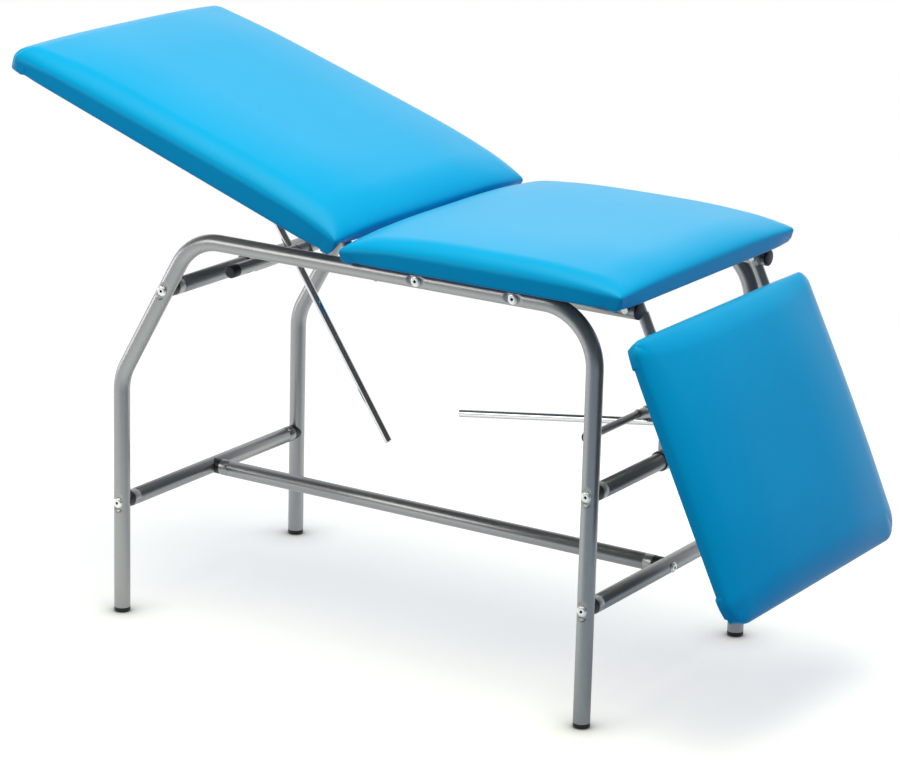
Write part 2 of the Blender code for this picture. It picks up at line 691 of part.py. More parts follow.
def strut(label, place, angle, length, heading):
    """A chromed rod, drilled near one end for its pin and closed at the free end."""
    axis = pivot(f"{label}_rod_pivot", (place[0], 0.0, place[1]), angle)
    profile = (
        (0.0, length - 0.0015), (ROD_R - 0.0025, length - 0.0015), (ROD_R - 0.0015, length),
        (ROD_R, length - 0.001), (ROD_R, -0.009), (ROD_BORE, -0.009), (ROD_BORE, length - 0.012),
        (0.0, length - 0.012),
    )
    turn = (0, math.radians(90 * heading), 0)
    rod = add(f"{label}_rod", turned(f"{label}_rod", profile, 12), CHROME, axis, (0, 0, 0), turn)
    combine(rod, rod_mesh(label, (0, -0.02, 0), (0, 0.02, 0), clear(ROD_PIN_R), 8), "DIFFERENCE")
    reach = EAR_GAP + EAR_THICKNESS + GAP
    profile = (
        (0.0, reach + 0.003), (0.005, reach + 0.003), (0.005, reach), (ROD_PIN_R, reach),
        (ROD_PIN_R, -reach), (0.005, -reach), (0.005, -reach - 0.003), (0.0, -reach - 0.003),
    )
    add(f"{label}_rod_pin", turned(f"{label}_rod_pin", profile, 8), ZINC, axis, (0, 0, 0), ACROSS)


def lock(label, place, angle, crank, cheek_end_r, hub, bar, bar_r):
    """A fork on a cross tube, with the strut between its cranked cheeks; crank, hub and bar are (x, z)."""
    axis = pivot(f"{label}_lock_swivel", (place[0], 0.0, place[1]), angle)
    half = SLEEVE_LENGTH / 2
    name = f"{label}_lock"
    made = add(name, rod_mesh(name, (0, -half, 0), (0, half, 0), SLEEVE_R, 16), COAT, axis)
    for side in (-1, 1):
        y = sorted((side * CHEEK_Y, side * (CHEEK_Y + CHEEK_THICKNESS)))
        combine(made, plate(name, strap((0, 0), CHEEK_ROOT_R, crank, cheek_end_r), *y), "UNION")
        y = (y[0] + GAP, y[1] - GAP)
        combine(made, plate(name, strap(crank, cheek_end_r - GAP, hub, cheek_end_r), *y), "UNION")
    arm_y = CHEEK_Y + CHEEK_THICKNESS + 2 * GAP
    out = arm_y + LEVER_THICKNESS + 2 * GAP
    profile = (
        (0.0, out + 0.002), (0.006, out + 0.002), (0.006, out), (PIN_R, out),
        (PIN_R, -out), (0.006, -out), (0.006, -out - 0.002), (0.0, -out - 0.002),
    )
    stub = turned(name, profile, 8)
    stub.transform(Matrix.Translation((hub[0], 0, hub[1])) @ Matrix.Rotation(math.radians(-90), 4, "X"))
    combine(made, stub, "UNION")
    combine(made, rod_mesh(name, (0, -0.06, 0), (0, 0.06, 0), SLEEVE_BORE + 0.0003, 16), "DIFFERENCE")

    # Plastic bush between sleeve and cross tube, split along its length so that it snaps on
    inside, outside = TUBE_R + GAP, SLEEVE_BORE - GAP
    long, flange = half + GAP, half + 0.0033
    profile = (
        (inside, flange), (BUSH_FLANGE_R, flange), (BUSH_FLANGE_R, long), (outside, long),
        (outside, -long), (BUSH_FLANGE_R, -long), (BUSH_FLANGE_R, -flange), (inside, -flange),
    )
    sleeve_mesh = turned(f"{name}_bush", profile, 16, closed=True)
    bush = add(f"{name}_bush", sleeve_mesh, PLASTIC, axis, (0, 0, 0), ACROSS)
    bm = bmesh.new()
    bmesh.ops.create_cube(bm, size=1.0)
    bmesh.ops.scale(bm, vec=(0.003, 0.02, 0.12), verts=bm.verts)
    bmesh.ops.translate(bm, vec=(0, 0.018, 0), verts=bm.verts)
    combine(bush, from_bmesh(bm, f"{name}_slit"), "DIFFERENCE")

    # Torsion spring on the lock's stub, wound between the cheeks
    turns, per_turn = 3, 8
    coil = []
    for i in range(turns * per_turn + 1):
        angle_here = 2 * math.pi * i / per_turn
        y = -0.0052 + 0.0104 * i / (turns * per_turn)
        coil.append((0.0056 * math.cos(angle_here), y, 0.0056 * math.sin(angle_here)))
    coil.insert(0, (0.0056, -0.0052, -0.007))
    coil.append((0.0056, 0.0052, 0.007))
    add(f"{label}_release_spring", tube(name, coil, 0.0008, 6), STEEL, axis, (hub[0], 0, hub[1]))

    # Release bar: a handle right across the table, on two short levers
    grip = pivot(f"{label}_release_axis", (0, 0, 0))
    grip.parent = axis
    grip.location = (hub[0], 0.0, hub[1])
    reach = (bar[0] - hub[0], bar[1] - hub[1])
    name = f"{label}_release_bar"
    half = (BACK_BAR_HALF - GRIP_LENGTH - GAP) if label == "back" else LEG_BAR_HALF - 0.004
    handle = add(
        name, rod_mesh(name, (reach[0], -half, reach[1]), (reach[0], half, reach[1]), bar_r, 12), COAT, grip,
    )
    for side in (-1, 1):
        y = sorted((side * arm_y, side * (arm_y + LEVER_THICKNESS)))
        combine(handle, plate(name, strap(reach, bar_r + 0.0015, (0, 0), LEVER_EYE_R), *y), "UNION")
    cuts = [rod_mesh(name, (0, -0.03, 0), (0, 0.03, 0), clear(PIN_R), 8)]
    if label == "back":
        cuts.append(
            rod_mesh(name, (reach[0], -0.3, reach[1]), (reach[0], 0.3, reach[1]), bar_r - TUBE_WALL, 12)
        )
    combine(handle, joined(f"{name}_cuts", cuts), "DIFFERENCE")
    for where, side in SIDES:
        turn = (math.radians(-90 * side), 0, 0)
        if label == "back":
            bore = bar_r - TUBE_WALL - GAP
            profile = (
                (0.0, GRIP_LENGTH), (bar_r - 0.003, GRIP_LENGTH), (bar_r, GRIP_LENGTH - 0.003), (bar_r, 0.0),
                (bore, 0.0), (bore, -0.016), (0.0, -0.016),
            )
            start = BACK_BAR_HALF - GRIP_LENGTH
            cap = f"back_release_cap_{where}"
        else:
            bore = bar_r + GAP
            profile = (
                (0.0, GRIP_LENGTH), (LEG_KNOB_R - 0.003, GRIP_LENGTH), (LEG_KNOB_R, GRIP_LENGTH - 0.003),
                (LEG_KNOB_R, 0.002), (LEG_KNOB_R - 0.002, 0.0), (bore, 0.0),
                (bore, GRIP_LENGTH - 0.004 + GAP), (0.0, GRIP_LENGTH - 0.004 + GAP),
            )
            start = LEG_BAR_HALF - GRIP_LENGTH
            cap = f"leg_release_knob_{where}"
        add(cap, turned(cap, profile, 12), PLASTIC, grip, (reach[0], side * start, reach[1]), turn)


# Each strut runs from its eye past a cross tube, and its bar lies just off the strut's outer side
for (
    label, eye, hinge_x, turn, heading, tube_at, off_tube, length, crank, end_r, hub_along, bar_along, bar_r,
) in (
    ("back", back_eye, BACK_HINGE_X, BACK_ANGLE, 1, (upper_x, UPPER_Z), BACK_ROD_OFF_TUBE, BACK_ROD_LENGTH,
     BACK_CHEEK_CRANK, BACK_CHEEK_END_R, BACK_HUB_ALONG, BACK_BAR_ALONG, BACK_BAR_R),
    ("leg", leg_eye, LEG_HINGE_X, LEG_ANGLE, -1, (FOOT_LEG_X, MIDDLE_Z), LEG_ROD_OFF_TUBE, LEG_ROD_LENGTH,
     LEG_CHEEK_CRANK, LEG_CHEEK_END_R, LEG_HUB_ALONG, LEG_BAR_ALONG, LEG_BAR_R),
):
    rod_eye = placed(eye, hinge_x, turn)
    angle = strut_angle(rod_eye, tube_at, off_tube, heading)
    strut(label, rod_eye, angle, length, heading)
    bar_off = off_tube + ROD_R + bar_r + BAR_CLEAR
    hub = (hub_along, off_tube + HUB_OFF_ROD)
    lock(label, tube_at, angle, crank, end_r, hub, (bar_along, bar_off), bar_r)
    print(label, "strut eye", [round(v, 6) for v in rod_eye], "turn", round(math.degrees(angle), 4))

# Shift the whole table so that its origin is below the middle of its length
bpy.context.view_layer.update()
graph = bpy.context.evaluated_depsgraph_get()
spread = [
    (made.evaluated_get(graph).matrix_world @ v.co).x
    for made in parts.objects if made.type == "MESH"
    for v in made.evaluated_get(graph).data.vertices
]
root.location.x = -(min(spread) + max(spread)) / 2
bpy.context.view_layer.update()
print("origin shift", round(root.location.x, 6))
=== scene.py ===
import math
from collections import namedtuple

import bpy
from mathutils import Matrix, Vector


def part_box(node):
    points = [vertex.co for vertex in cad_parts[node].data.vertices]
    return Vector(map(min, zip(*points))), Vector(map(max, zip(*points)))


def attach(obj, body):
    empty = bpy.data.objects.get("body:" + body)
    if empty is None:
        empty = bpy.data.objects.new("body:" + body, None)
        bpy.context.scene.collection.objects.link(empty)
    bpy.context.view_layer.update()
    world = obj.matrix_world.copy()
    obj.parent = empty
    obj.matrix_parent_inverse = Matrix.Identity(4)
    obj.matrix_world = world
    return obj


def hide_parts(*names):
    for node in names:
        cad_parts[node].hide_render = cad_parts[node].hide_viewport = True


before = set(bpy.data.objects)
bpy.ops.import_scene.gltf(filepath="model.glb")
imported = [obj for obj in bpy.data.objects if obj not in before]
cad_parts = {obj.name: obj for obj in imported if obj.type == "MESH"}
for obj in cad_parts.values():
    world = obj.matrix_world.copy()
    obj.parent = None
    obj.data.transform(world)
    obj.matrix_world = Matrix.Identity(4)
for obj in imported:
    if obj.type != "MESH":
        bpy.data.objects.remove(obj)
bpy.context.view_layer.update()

# Camera: a long lens a little above the couch, off its foot end and right-hand side. Its place was
# solved from marks on the frame, and is counted from the middle of the head legs.
head_leg_x = sum(corner.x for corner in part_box("foot_cap_head_right")) / 2
eye = Vector((head_leg_x + 3.67323, -5.03486, 2.16982))
sight = Vector((-0.50893, 0.81456, -0.27836))
rightwards = Vector((0.84395, 0.53585, 0.02502))
upwards = Vector((-0.16954, 0.22219, 0.96016))
bpy.ops.object.select_all(action="DESELECT")
bpy.ops.object.camera_add(location=eye)
camera = bpy.context.object
camera.matrix_world = Matrix((
    (rightwards.x, upwards.x, -sight.x, eye.x),
    (rightwards.y, upwards.y, -sight.y, eye.y),
    (rightwards.z, upwards.z, -sight.z, eye.z),
    (0, 0, 0, 1),
))
camera.data.sensor_width = 36.0
camera.data.lens = 137.158
camera.data.clip_end = 60.0
bpy.context.scene.camera = camera


# Studio: white paper on the floor keeps a soft shadow and a painted contact shade, darker where a foot touches
# it, and fades to plain white away from the object. A wide soft lamp hangs overhead, two weaker ones stand on
# the left, and the room is white behind the object and dim towards the camera, with a bluish fill on surfaces
# that don't mirror it.
def linear(code):
    """A linear colour from an sRGB hex value."""
    shares = [int(code[i : i + 2], 16) / 255 for i in (1, 3, 5)]
    return (*[s / 12.92 if s <= 0.04045 else ((s + 0.055) / 1.055) ** 2.4 for s in shares], 1.0)


def add_node(tree, kind, values=None, links=None, **settings):
    """Adds a node, with its settings, input values and links from other nodes' outputs."""
    node = tree.nodes.new(kind)
    for key, value in settings.items():
        setattr(node, key, value)
    for key, value in (values or {}).items():
        node.inputs[key].default_value = value
    for key, socket in (links or {}).items():
        tree.links.new(socket, node.inputs[key])
    return node


bpy.context.scene.view_settings.view_transform = "Standard"
floor_size, floor_z = 60.0, -0.0005
fade_start, fade_end = 0.9, 2.7
foot_shade_reach = 0.09
bpy.ops.object.select_all(action="DESELECT")
bpy.ops.mesh.primitive_grid_add(x_subdivisions=2, y_subdivisions=2, size=floor_size, location=(0, 0, floor_z))
floor = bpy.context.object
floor.name = "studio_floor"
floor_paint = bpy.data.materials.new("white_studio_floor")
floor_paint.use_nodes = True
tree = floor_paint.node_tree
tree.nodes.clear()
grey = add_node(tree, "ShaderNodeBsdfDiffuse", {"Color": linear("#969FB0")})
path = add_node(tree, "ShaderNodeLightPath")
mirrored = add_node(
    tree, "ShaderNodeMath", links={0: path.outputs["Is Glossy Ray"], 1: path.outputs["Is Transmission Ray"]},
    operation="MAXIMUM",
)
spot = add_node(tree, "ShaderNodeTexCoord")
forwards = add_node(
    tree, "ShaderNodeVectorMath", {1: (0.90, -0.44, 0.0)}, {0: spot.outputs["Object"]}, operation="DOT_PRODUCT",
)
paper = add_node(
    tree, "ShaderNodeMapRange", {"From Min": 0.05, "From Max": 0.85, "To Min": 1.0, "To Max": 0.20},
    {"Value": forwards.outputs["Value"]},
)
on_paper = add_node(
    tree, "ShaderNodeMath", links={0: mirrored.outputs[0], 1: paper.outputs[0]}, operation="MULTIPLY",
)
seen = add_node(
    tree, "ShaderNodeMath", links={0: path.outputs["Is Camera Ray"], 1: on_paper.outputs[0]}, operation="MAXIMUM",
)
away = add_node(tree, "ShaderNodeVectorMath", links={0: spot.outputs["Object"]}, operation="LENGTH")
fade = add_node(
    tree, "ShaderNodeMapRange", {"From Min": fade_start, "From Max": fade_end, "To Min": 0.63, "To Max": 1.0},
    {"Value": away.outputs["Value"]},
)
# Painted contact shade: an occlusion node darkens the paper's glow and colour within reach of each foot.
nearby = add_node(tree, "ShaderNodeAmbientOcclusion", {"Distance": foot_shade_reach}, samples=12)
painted_contact_shade = add_node(
    tree, "ShaderNodeMapRange", {"From Min": 0.45, "From Max": 0.97, "To Min": 0.12, "To Max": 1.0},
    {"Value": nearby.outputs["AO"]},
)
lit = add_node(tree, "ShaderNodeMath", links={0: fade.outputs[0], 1: painted_contact_shade.outputs[0]}, operation="MULTIPLY")
glow = add_node(tree, "ShaderNodeEmission", {"Color": linear("#FFFFFF")}, {"Strength": lit.outputs[0]})
far_off = add_node(
    tree, "ShaderNodeMapRange", {"From Min": fade_start, "From Max": fade_end}, {"Value": away.outputs["Value"]},
)
whiteness = add_node(tree, "ShaderNodeValToRGB", links={0: far_off.outputs[0]})
whiteness.color_ramp.elements[0].color = linear("#BEBAB2")
whiteness.color_ramp.elements[1].color = linear("#000000")
shaded = add_node(
    tree, "ShaderNodeVectorMath", links={0: whiteness.outputs[0], "Scale": painted_contact_shade.outputs[0]}, operation="SCALE",
)
matt = add_node(tree, "ShaderNodeBsdfDiffuse", links={"Color": shaded.outputs["Vector"]})
white = add_node(tree, "ShaderNodeAddShader", links={0: matt.outputs[0], 1: glow.outputs[0]})
mixed = add_node(tree, "ShaderNodeMixShader", links={0: seen.outputs[0], 1: grey.outputs[0], 2: white.outputs[0]})
add_node(tree, "ShaderNodeOutputMaterial", links={"Surface": mixed.outputs[0]})
floor.data.materials.append(floor_paint)

world = bpy.data.worlds.new("studio_surround")
bpy.context.scene.world = world
world.use_nodes = True
tree = world.node_tree
tree.nodes.clear()
path = add_node(tree, "ShaderNodeLightPath")
where = add_node(tree, "ShaderNodeTexCoord")
behind_left = add_node(
    tree, "ShaderNodeVectorMath", {1: (-0.43, 0.83, -0.28)}, {0: where.outputs["Generated"]}, operation="DOT_PRODUCT",
)
room = add_node(
    tree, "ShaderNodeMapRange", {"From Min": 0.12, "From Max": 0.75, "To Min": 0.08, "To Max": 1.0},
    {"Value": behind_left.outputs["Value"]},
)
mirrored = add_node(tree, "ShaderNodeBackground", {"Color": linear("#FFFFFF")}, {"Strength": room.outputs[0]})
behind_above = add_node(
    tree, "ShaderNodeVectorMath", {1: (0.20, 0.80, 0.56)}, {0: where.outputs["Generated"]}, operation="DOT_PRODUCT",
)
cool = add_node(
    tree, "ShaderNodeMapRange", {"From Min": -0.3, "From Max": 0.8, "To Min": 0.16, "To Max": 0.80},
    {"Value": behind_above.outputs["Value"]},
)
fill = add_node(tree, "ShaderNodeBackground", {"Color": linear("#B8D6FF")}, {"Strength": cool.outputs[0]})
white = add_node(tree, "ShaderNodeBackground", {"Color": linear("#FFFFFF"), "Strength": 1.0})
in_mirror = add_node(
    tree, "ShaderNodeMath", links={0: path.outputs["Is Glossy Ray"], 1: path.outputs["Is Transmission Ray"]},
    operation="MAXIMUM",
)
soft = add_node(
    tree, "ShaderNodeMixShader", links={0: in_mirror.outputs[0], 1: fill.outputs[0], 2: mirrored.outputs[0]},
)
mixed = add_node(
    tree, "ShaderNodeMixShader", links={0: path.outputs["Is Camera Ray"], 1: soft.outputs[0], 2: white.outputs[0]}
)
add_node(tree, "ShaderNodeOutputWorld", links={"Surface": mixed.outputs[0]})


def soft_lamp(name, place, aim, width, depth, power, tint):
    """A rectangular lamp turned to face a point, with its sizes in metres and its power in watts."""
    bpy.ops.object.select_all(action="DESELECT")
    bpy.ops.object.light_add(type="AREA", location=place)
    lamp = bpy.context.object
    lamp.name = name
    lamp.data.shape = "RECTANGLE"
    lamp.data.size = width
    lamp.data.size_y = depth
    lamp.data.energy = power
    lamp.data.color = linear(tint)[:3]
    lamp.rotation_euler = (Vector(aim) - Vector(place)).to_track_quat("-Z", "Y").to_euler()


soft_lamp("overhead_lamp", (0.3, -0.4, 4.2), (0.1, 0.0, 0.5), 3.4, 3.0, 215.0, "#FAFFDE")
soft_lamp("left_lamp", (-4.2, -1.1, 0.75), (0.0, 0.0, 0.5), 1.6, 1.3, 20.0, "#FFFFFF")
soft_lamp("front_lamp", (-2.3, -3.0, 2.0), (0.1, 0.0, 0.7), 2.0, 1.5, 32.0, "#FFFBF2")


# Side frames: each is one length of 30 mm steel tube, bent to an arch from floor to floor and pressed
# flat on the outside at each bolt. The whole arch is sprayed with silver powder coat and baked.
def placed(x, y, z):
    """A point whose x is given from the middle of the head legs."""
    return Vector((head_leg_x + x, y, z))


def to_object_mode():
    """Leaves edit mode and selects nothing."""
    if bpy.context.object and bpy.context.object.mode != "OBJECT":
        bpy.ops.object.mode_set(mode="OBJECT")
    bpy.ops.object.select_all(action="DESELECT")


def pick(piece):
    """Makes a piece the one that operators act on."""
    to_object_mode()
    bpy.context.view_layer.objects.active = piece
    piece.select_set(True)


def recalculate(piece):
    """Merges doubles and turns all faces outwards."""
    pick(piece)
    bpy.ops.object.mode_set(mode="EDIT")
    bpy.ops.mesh.select_all(action="SELECT")
    bpy.ops.mesh.remove_doubles(threshold=0.000005)
    bpy.ops.mesh.normals_make_consistent(inside=False)
    bpy.ops.object.mode_set(mode="OBJECT")


def settle(piece, location=(0, 0, 0), rotation=(0, 0, 0)):
    """Turns and moves a piece, and puts its place into its mesh."""
    pick(piece)
    piece.rotation_euler = rotation
    piece.location = location
    bpy.ops.object.transform_apply(location=True, rotation=True, scale=True)
    return piece


def dress(piece, material, body, slot, *nodes, angle=38):
    """Gives a finished piece its material, its shading and the body that carries it, and hides the CAD nodes it
    stands for.
    """
    pick(piece)
    piece.data.materials.clear()
    piece.data.materials.append(material)
    bpy.ops.object.shade_smooth_by_angle(angle=math.radians(angle))
    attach(piece, body)
    if nodes:
        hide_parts(*nodes)
    return piece


def twin(piece, name, flip):
    """A copy with its own mesh, mirrored along the axes where flip is -1."""
    pick(piece)
    bpy.ops.object.duplicate(linked=False)
    copy = bpy.context.object
    copy.name = name
    copy.scale = flip
    bpy.ops.object.transform_apply(location=False, rotation=False, scale=True)
    recalculate(copy)
    return copy


def bent_tube(name, corners, bend_radius, radius, sides, stops=(), wall=0.0):
    """A round tube through corners: each straight run is extruded, with a ring at each stop on it, and each
    corner is spun at the bend radius. With a wall, the far end is left open."""
    clear_of_ends, off_line, bend_step, open_depth = 0.0005, 0.003, 6, 0.03
    to_object_mode()
    run = (corners[1] - corners[0]).normalized()
    bpy.ops.mesh.primitive_circle_add(vertices=sides, radius=radius, fill_type="NGON")
    piece = bpy.context.object
    piece.name = name
    settle(piece, corners[0], run.to_track_quat("Z", "Y").to_euler())
    bpy.ops.object.mode_set(mode="EDIT")
    bpy.ops.mesh.select_all(action="SELECT")
    here = corners[0]
    for i in range(1, len(corners)):
        turn, target = 0.0, corners[i]
        if i < len(corners) - 1:
            ahead = (corners[i + 1] - corners[i]).normalized()
            turn = run.angle(ahead)
            target = corners[i] - run * bend_radius * math.tan(turn / 2)
        length = (target - here).length
        reaches = [length]
        for stop in stops:
            reach = (stop - here).dot(run)
            aside = (stop - here - run * reach).length
            if clear_of_ends < reach < length - clear_of_ends and aside < off_line:
                reaches.append(reach)
        done = 0.0
        for reach in sorted(reaches):
            bpy.ops.mesh.extrude_region_move(TRANSFORM_OT_translate={"value": run * (reach - done)})
            done = reach
        here = target
        if turn:
            axis = run.cross(ahead).normalized()
            centre = here + axis.cross(run) * bend_radius
            steps = max(3, round(math.degrees(turn) / bend_step))
            bpy.ops.mesh.spin(steps=steps, angle=-turn, center=centre, axis=axis)
            here = corners[i] + ahead * bend_radius * math.tan(turn / 2)
            run = ahead
    if wall:
        bpy.ops.mesh.extrude_region_move(TRANSFORM_OT_translate={"value": (0, 0, 0)})
        bpy.ops.transform.resize(value=[(radius - wall) / radius] * 3, center_override=here)
        bpy.ops.mesh.extrude_region_move(TRANSFORM_OT_translate={"value": run * -open_depth})
    bpy.ops.object.mode_set(mode="OBJECT")
    recalculate(piece)
    return piece


def mottled(name, size, detail, dark, light, band=(0.0, 1.0)):
    """Starts a material whose colour drifts between two tones, in a noise with patches of given sizes in metres
    along X, Y and Z. Gives back the material, its tree, its shader, its coordinates and the noise."""
    material = bpy.data.materials.new(name)
    material.use_nodes = True
    tree = material.node_tree
    shader = tree.nodes["Principled BSDF"]
    spot = add_node(tree, "ShaderNodeTexCoord").outputs["Object"]
    patches = add_node(tree, "ShaderNodeMapping", {"Scale": [1 / s for s in size]}, {"Vector": spot})
    noise = add_node(tree, "ShaderNodeTexNoise", {"Scale": 1.0, "Detail": detail}, {"Vector": patches.outputs[0]})
    tone = add_node(tree, "ShaderNodeValToRGB", links={0: noise.outputs["Fac"]})
    for element, position, code in zip(tone.color_ramp.elements, band, (dark, light)):
        element.position = position
        element.color = linear(code)
    tree.links.new(tone.outputs[0], shader.inputs["Base Color"])
    return material, tree, shader, spot, noise.outputs["Fac"]


# Silver powder coat: aluminium flake in polyester, so nearly metal to the eye but soft in what it mirrors, with
# a faint mottle where the flakes lie unevenly (drawn at 1.2 mm so that it shows) and a 4 mm orange peel.
silver_coat, tree, shader, spot, _ = mottled(
    "silver_powder_coat", (0.0012, 0.0012, 0.0012), 2.0, "#9A9C9E", "#A5A6A8", (0.30, 0.70),
)
shader.inputs["Metallic"].default_value = 0.92
shader.inputs["Roughness"].default_value = 0.34
peel = add_node(tree, "ShaderNodeTexNoise", {"Scale": 1 / 0.004}, {"Vector": spot})
bump = add_node(tree, "ShaderNodeBump", {"Strength": 0.03, "Distance": 0.0004}, {"Height": peel.outputs["Fac"]})
tree.links.new(bump.outputs[0], shader.inputs["Normal"])

tube_radius = 0.015
frame_y = 0.280
foot_leg_x = 0.9837
rail_z = 0.7306
leg_end_z = 0.0083
slant_low_z = 0.4513
slant_top_x = 0.1575
lower_z = 0.2115
middle_z = 0.4136
upper_z = 0.628
seat_bolt_x = {"head": 0.636, "foot": 0.829}
slant = Vector((slant_top_x, 0, rail_z - slant_low_z)).normalized()
upper_x = (upper_z - slant_low_z) * slant.x / slant.z
upright, lengthwise = Vector((0, 0, 1)), Vector((1, 0, 0))
frame_bolts = (
    ("head_lower", 0.0, lower_z, upright), ("head_upper", upper_x, upper_z, slant),
    ("seat_head", seat_bolt_x["head"], rail_z, lengthwise), ("seat_foot", seat_bolt_x["foot"], rail_z, lengthwise),
    ("foot_middle", foot_leg_x, middle_z, upright), ("foot_lower", foot_leg_x, lower_z, upright),
)
press_depth, press_flat, press_end, press_reach = 0.003, 0.0105, 0.019, 0.03
press_rows, press_spacing = range(-11, 12), 0.0019
arch_bend = 0.100
corners = [
    placed(0, -frame_y, leg_end_z), placed(0, -frame_y, slant_low_z), placed(slant_top_x, -frame_y, rail_z),
    placed(foot_leg_x, -frame_y, rail_z), placed(foot_leg_x, -frame_y, leg_end_z),
]
stops = []
for _, x, z, run in frame_bolts:
    stops += [placed(x, -frame_y, z) + run * press_spacing * k for k in press_rows]
arch = bent_tube("side_frame_tube_right", corners, arch_bend, tube_radius, 40, stops)
for vertex in arch.data.vertices:
    for _, x, z, run in frame_bolts:
        away = vertex.co - placed(x, -frame_y, z)
        along = abs(away.dot(run))
        if along < press_end and away.length < press_reach:
            ease = min(1.0, (press_end - along) / (press_end - press_flat))
            level = tube_radius - press_depth * ease * ease * (3 - 2 * ease)
            vertex.co.y = max(vertex.co.y, -frame_y - level)
dress(twin(arch, "side_frame_tube_left", (1, -1, 1)), silver_coat, "frame", "powder_coat", "side_frame_left")
dress(arch, silver_coat, "frame", "powder_coat", "side_frame_right")


# Foot caps: black polypropylene plugs pushed into the four tube ends, as wide as the tube, with a rounded
# rim that stands on the floor.
def lathe(name, profile, sides=40):
    """A turned piece along Z: a disc is extruded and resized along a profile of (radius, height)."""
    to_object_mode()
    radius, level = profile[0]
    bpy.ops.mesh.primitive_circle_add(vertices=sides, radius=radius, fill_type="NGON")
    piece = bpy.context.object
    piece.name = name
    bpy.ops.object.mode_set(mode="EDIT")
    bpy.ops.mesh.select_all(action="SELECT")
    bpy.ops.transform.translate(value=(0, 0, level))
    for new_radius, new_level in profile[1:]:
        bpy.ops.mesh.extrude_region_move(TRANSFORM_OT_translate={"value": (0, 0, new_level - level)})
        change = new_radius / radius
        bpy.ops.transform.resize(value=(change, change, 1), center_override=(0, 0, new_level))
        radius, level = new_radius, new_level
    bpy.ops.object.mode_set(mode="OBJECT")
    recalculate(piece)
    return piece


# Black moulded plastic: polypropylene from a lightly sparked mould, so nearly black and dull to the eye, with a
# fine grain that is drawn at 1.5 mm so that it shows.
black_plastic, tree, shader, _, grain = mottled(
    "black_moulded_plastic", (0.0015, 0.0015, 0.0015), 2.0, "#131416", "#26282B",
)
shader.inputs["IOR"].default_value = 1.49
dull = add_node(tree, "ShaderNodeMapRange", {"To Min": 0.38, "To Max": 0.55}, {"Value": grain})
tree.links.new(dull.outputs[0], shader.inputs["Roughness"])
bump = add_node(tree, "ShaderNodeBump", {"Strength": 0.1, "Distance": 0.0003}, {"Height": grain})
tree.links.new(bump.outputs[0], shader.inputs["Normal"])

cap_profile = (
    (0.0118, 0.0), (0.0132, 0.0004), (0.0142, 0.0014), (0.01505, 0.0030), (0.01505, 0.0070), (0.0147, 0.0078),
    (0.0132, 0.0080), (0.0132, 0.0260),
)
for end, x in (("head", 0.0), ("foot", foot_leg_x)):
    for side, y in (("right", -frame_y), ("left", frame_y)):
        cap = settle(lathe(f"foot_plug_{end}_{side}", cap_profile), placed(x, y, 0))
        dress(cap, black_plastic, "frame", "black_plastic", f"foot_cap_{end}_{side}")

# Cross tubes: four straight tubes that hold the side frames apart. Each end has a black saddle, hollowed to
# sit on the round leg, and the tube is rolled into a groove round the saddle's plug.
saddle_length = 0.008
saddle_inset = 0.0001
edge_break = 0.0006
saddle_radius = tube_radius - edge_break
tube_end = frame_y - tube_radius - saddle_length


def grooved_profile(end):
    """The profile of a tube with a rolled groove, 18 mm in and 1 mm deep, near each end."""
    half = [
        (tube_radius - edge_break, end), (tube_radius, end - edge_break), (tube_radius, end - 0.0160),
        (tube_radius - 0.0007, end - 0.0172), (tube_radius - 0.0010, end - 0.0180),
        (tube_radius - 0.0007, end - 0.0188), (tube_radius, end - 0.0200),
    ]
    return [(r, -z) for r, z in half] + half[::-1]


def cut(piece, cutter, operation="DIFFERENCE"):
    """Cuts one mesh out of another, or joins it on with UNION, and removes the cutter."""
    pick(piece)
    step = piece.modifiers.new("cut", "BOOLEAN")
    step.operation = operation
    step.solver = "EXACT"
    step.object = cutter
    bpy.ops.object.modifier_apply(modifier=step.name)
    bpy.data.objects.remove(cutter, do_unlink=True)
    return piece


def hollowed(piece, place, run):
    """Hollows the end of a piece so that it sits on the tube that runs through a place."""
    to_object_mode()
    bpy.ops.mesh.primitive_cylinder_add(vertices=64, radius=tube_radius + 0.0002, depth=0.1)
    return cut(piece, settle(bpy.context.object, place, run.to_track_quat("Z", "Y").to_euler()))


def saddle(name, start, seat, run):
    """A black saddle plug from start towards seat, hollowed by the tube that runs through seat."""
    reach, plug_end = seat - start, -0.0030
    profile = ((saddle_radius - 0.0012, plug_end), (saddle_radius, plug_end), (saddle_radius, reach.length))
    piece = settle(lathe(name, profile), start, reach.to_track_quat("Z", "Y").to_euler())
    return hollowed(piece, seat, run)


across = (math.radians(-90), 0, 0)
for name, x, z, run in [joint for joint in frame_bolts if not joint[0].startswith("seat")]:
    tube = settle(lathe(f"cross_tube_{name}_body", grooved_profile(tube_end)), placed(x, 0, z), across)
    dress(tube, silver_coat, "frame", "powder_coat", f"cross_tube_{name}")
    for side, sign in (("right", -1), ("left", 1)):
        start = placed(x, sign * (tube_end + saddle_inset), z)
        plug = saddle(f"saddle_{name}_{side}", start, placed(x, sign * frame_y, z), run)
        dress(plug, black_plastic, "frame", "black_plastic")

# Stretcher: the lengthwise tube low down, bolted between the two lower cross tubes on the same saddles. It is
# cut from the same steel tube as they are, and grooved and powder coated in the same way.
stretcher_end = foot_leg_x / 2 - tube_radius - saddle_length
stretcher = lathe("stretcher_tube_body", grooved_profile(stretcher_end))
settle(stretcher, placed(foot_leg_x / 2, 0, lower_z), (0, math.radians(90), 0))
dress(stretcher, silver_coat, "frame", "powder_coat", "stretcher_tube")
for end, x, sign in (("head", 0.0, 1), ("foot", foot_leg_x, -1)):
    start = placed(x + sign * (tube_radius + saddle_length - saddle_inset), 0, lower_z)
    plug = saddle(f"saddle_stretcher_{end}", start, placed(x, 0, lower_z), Vector((0, 1, 0)))
    dress(plug, black_plastic, "frame", "black_plastic")

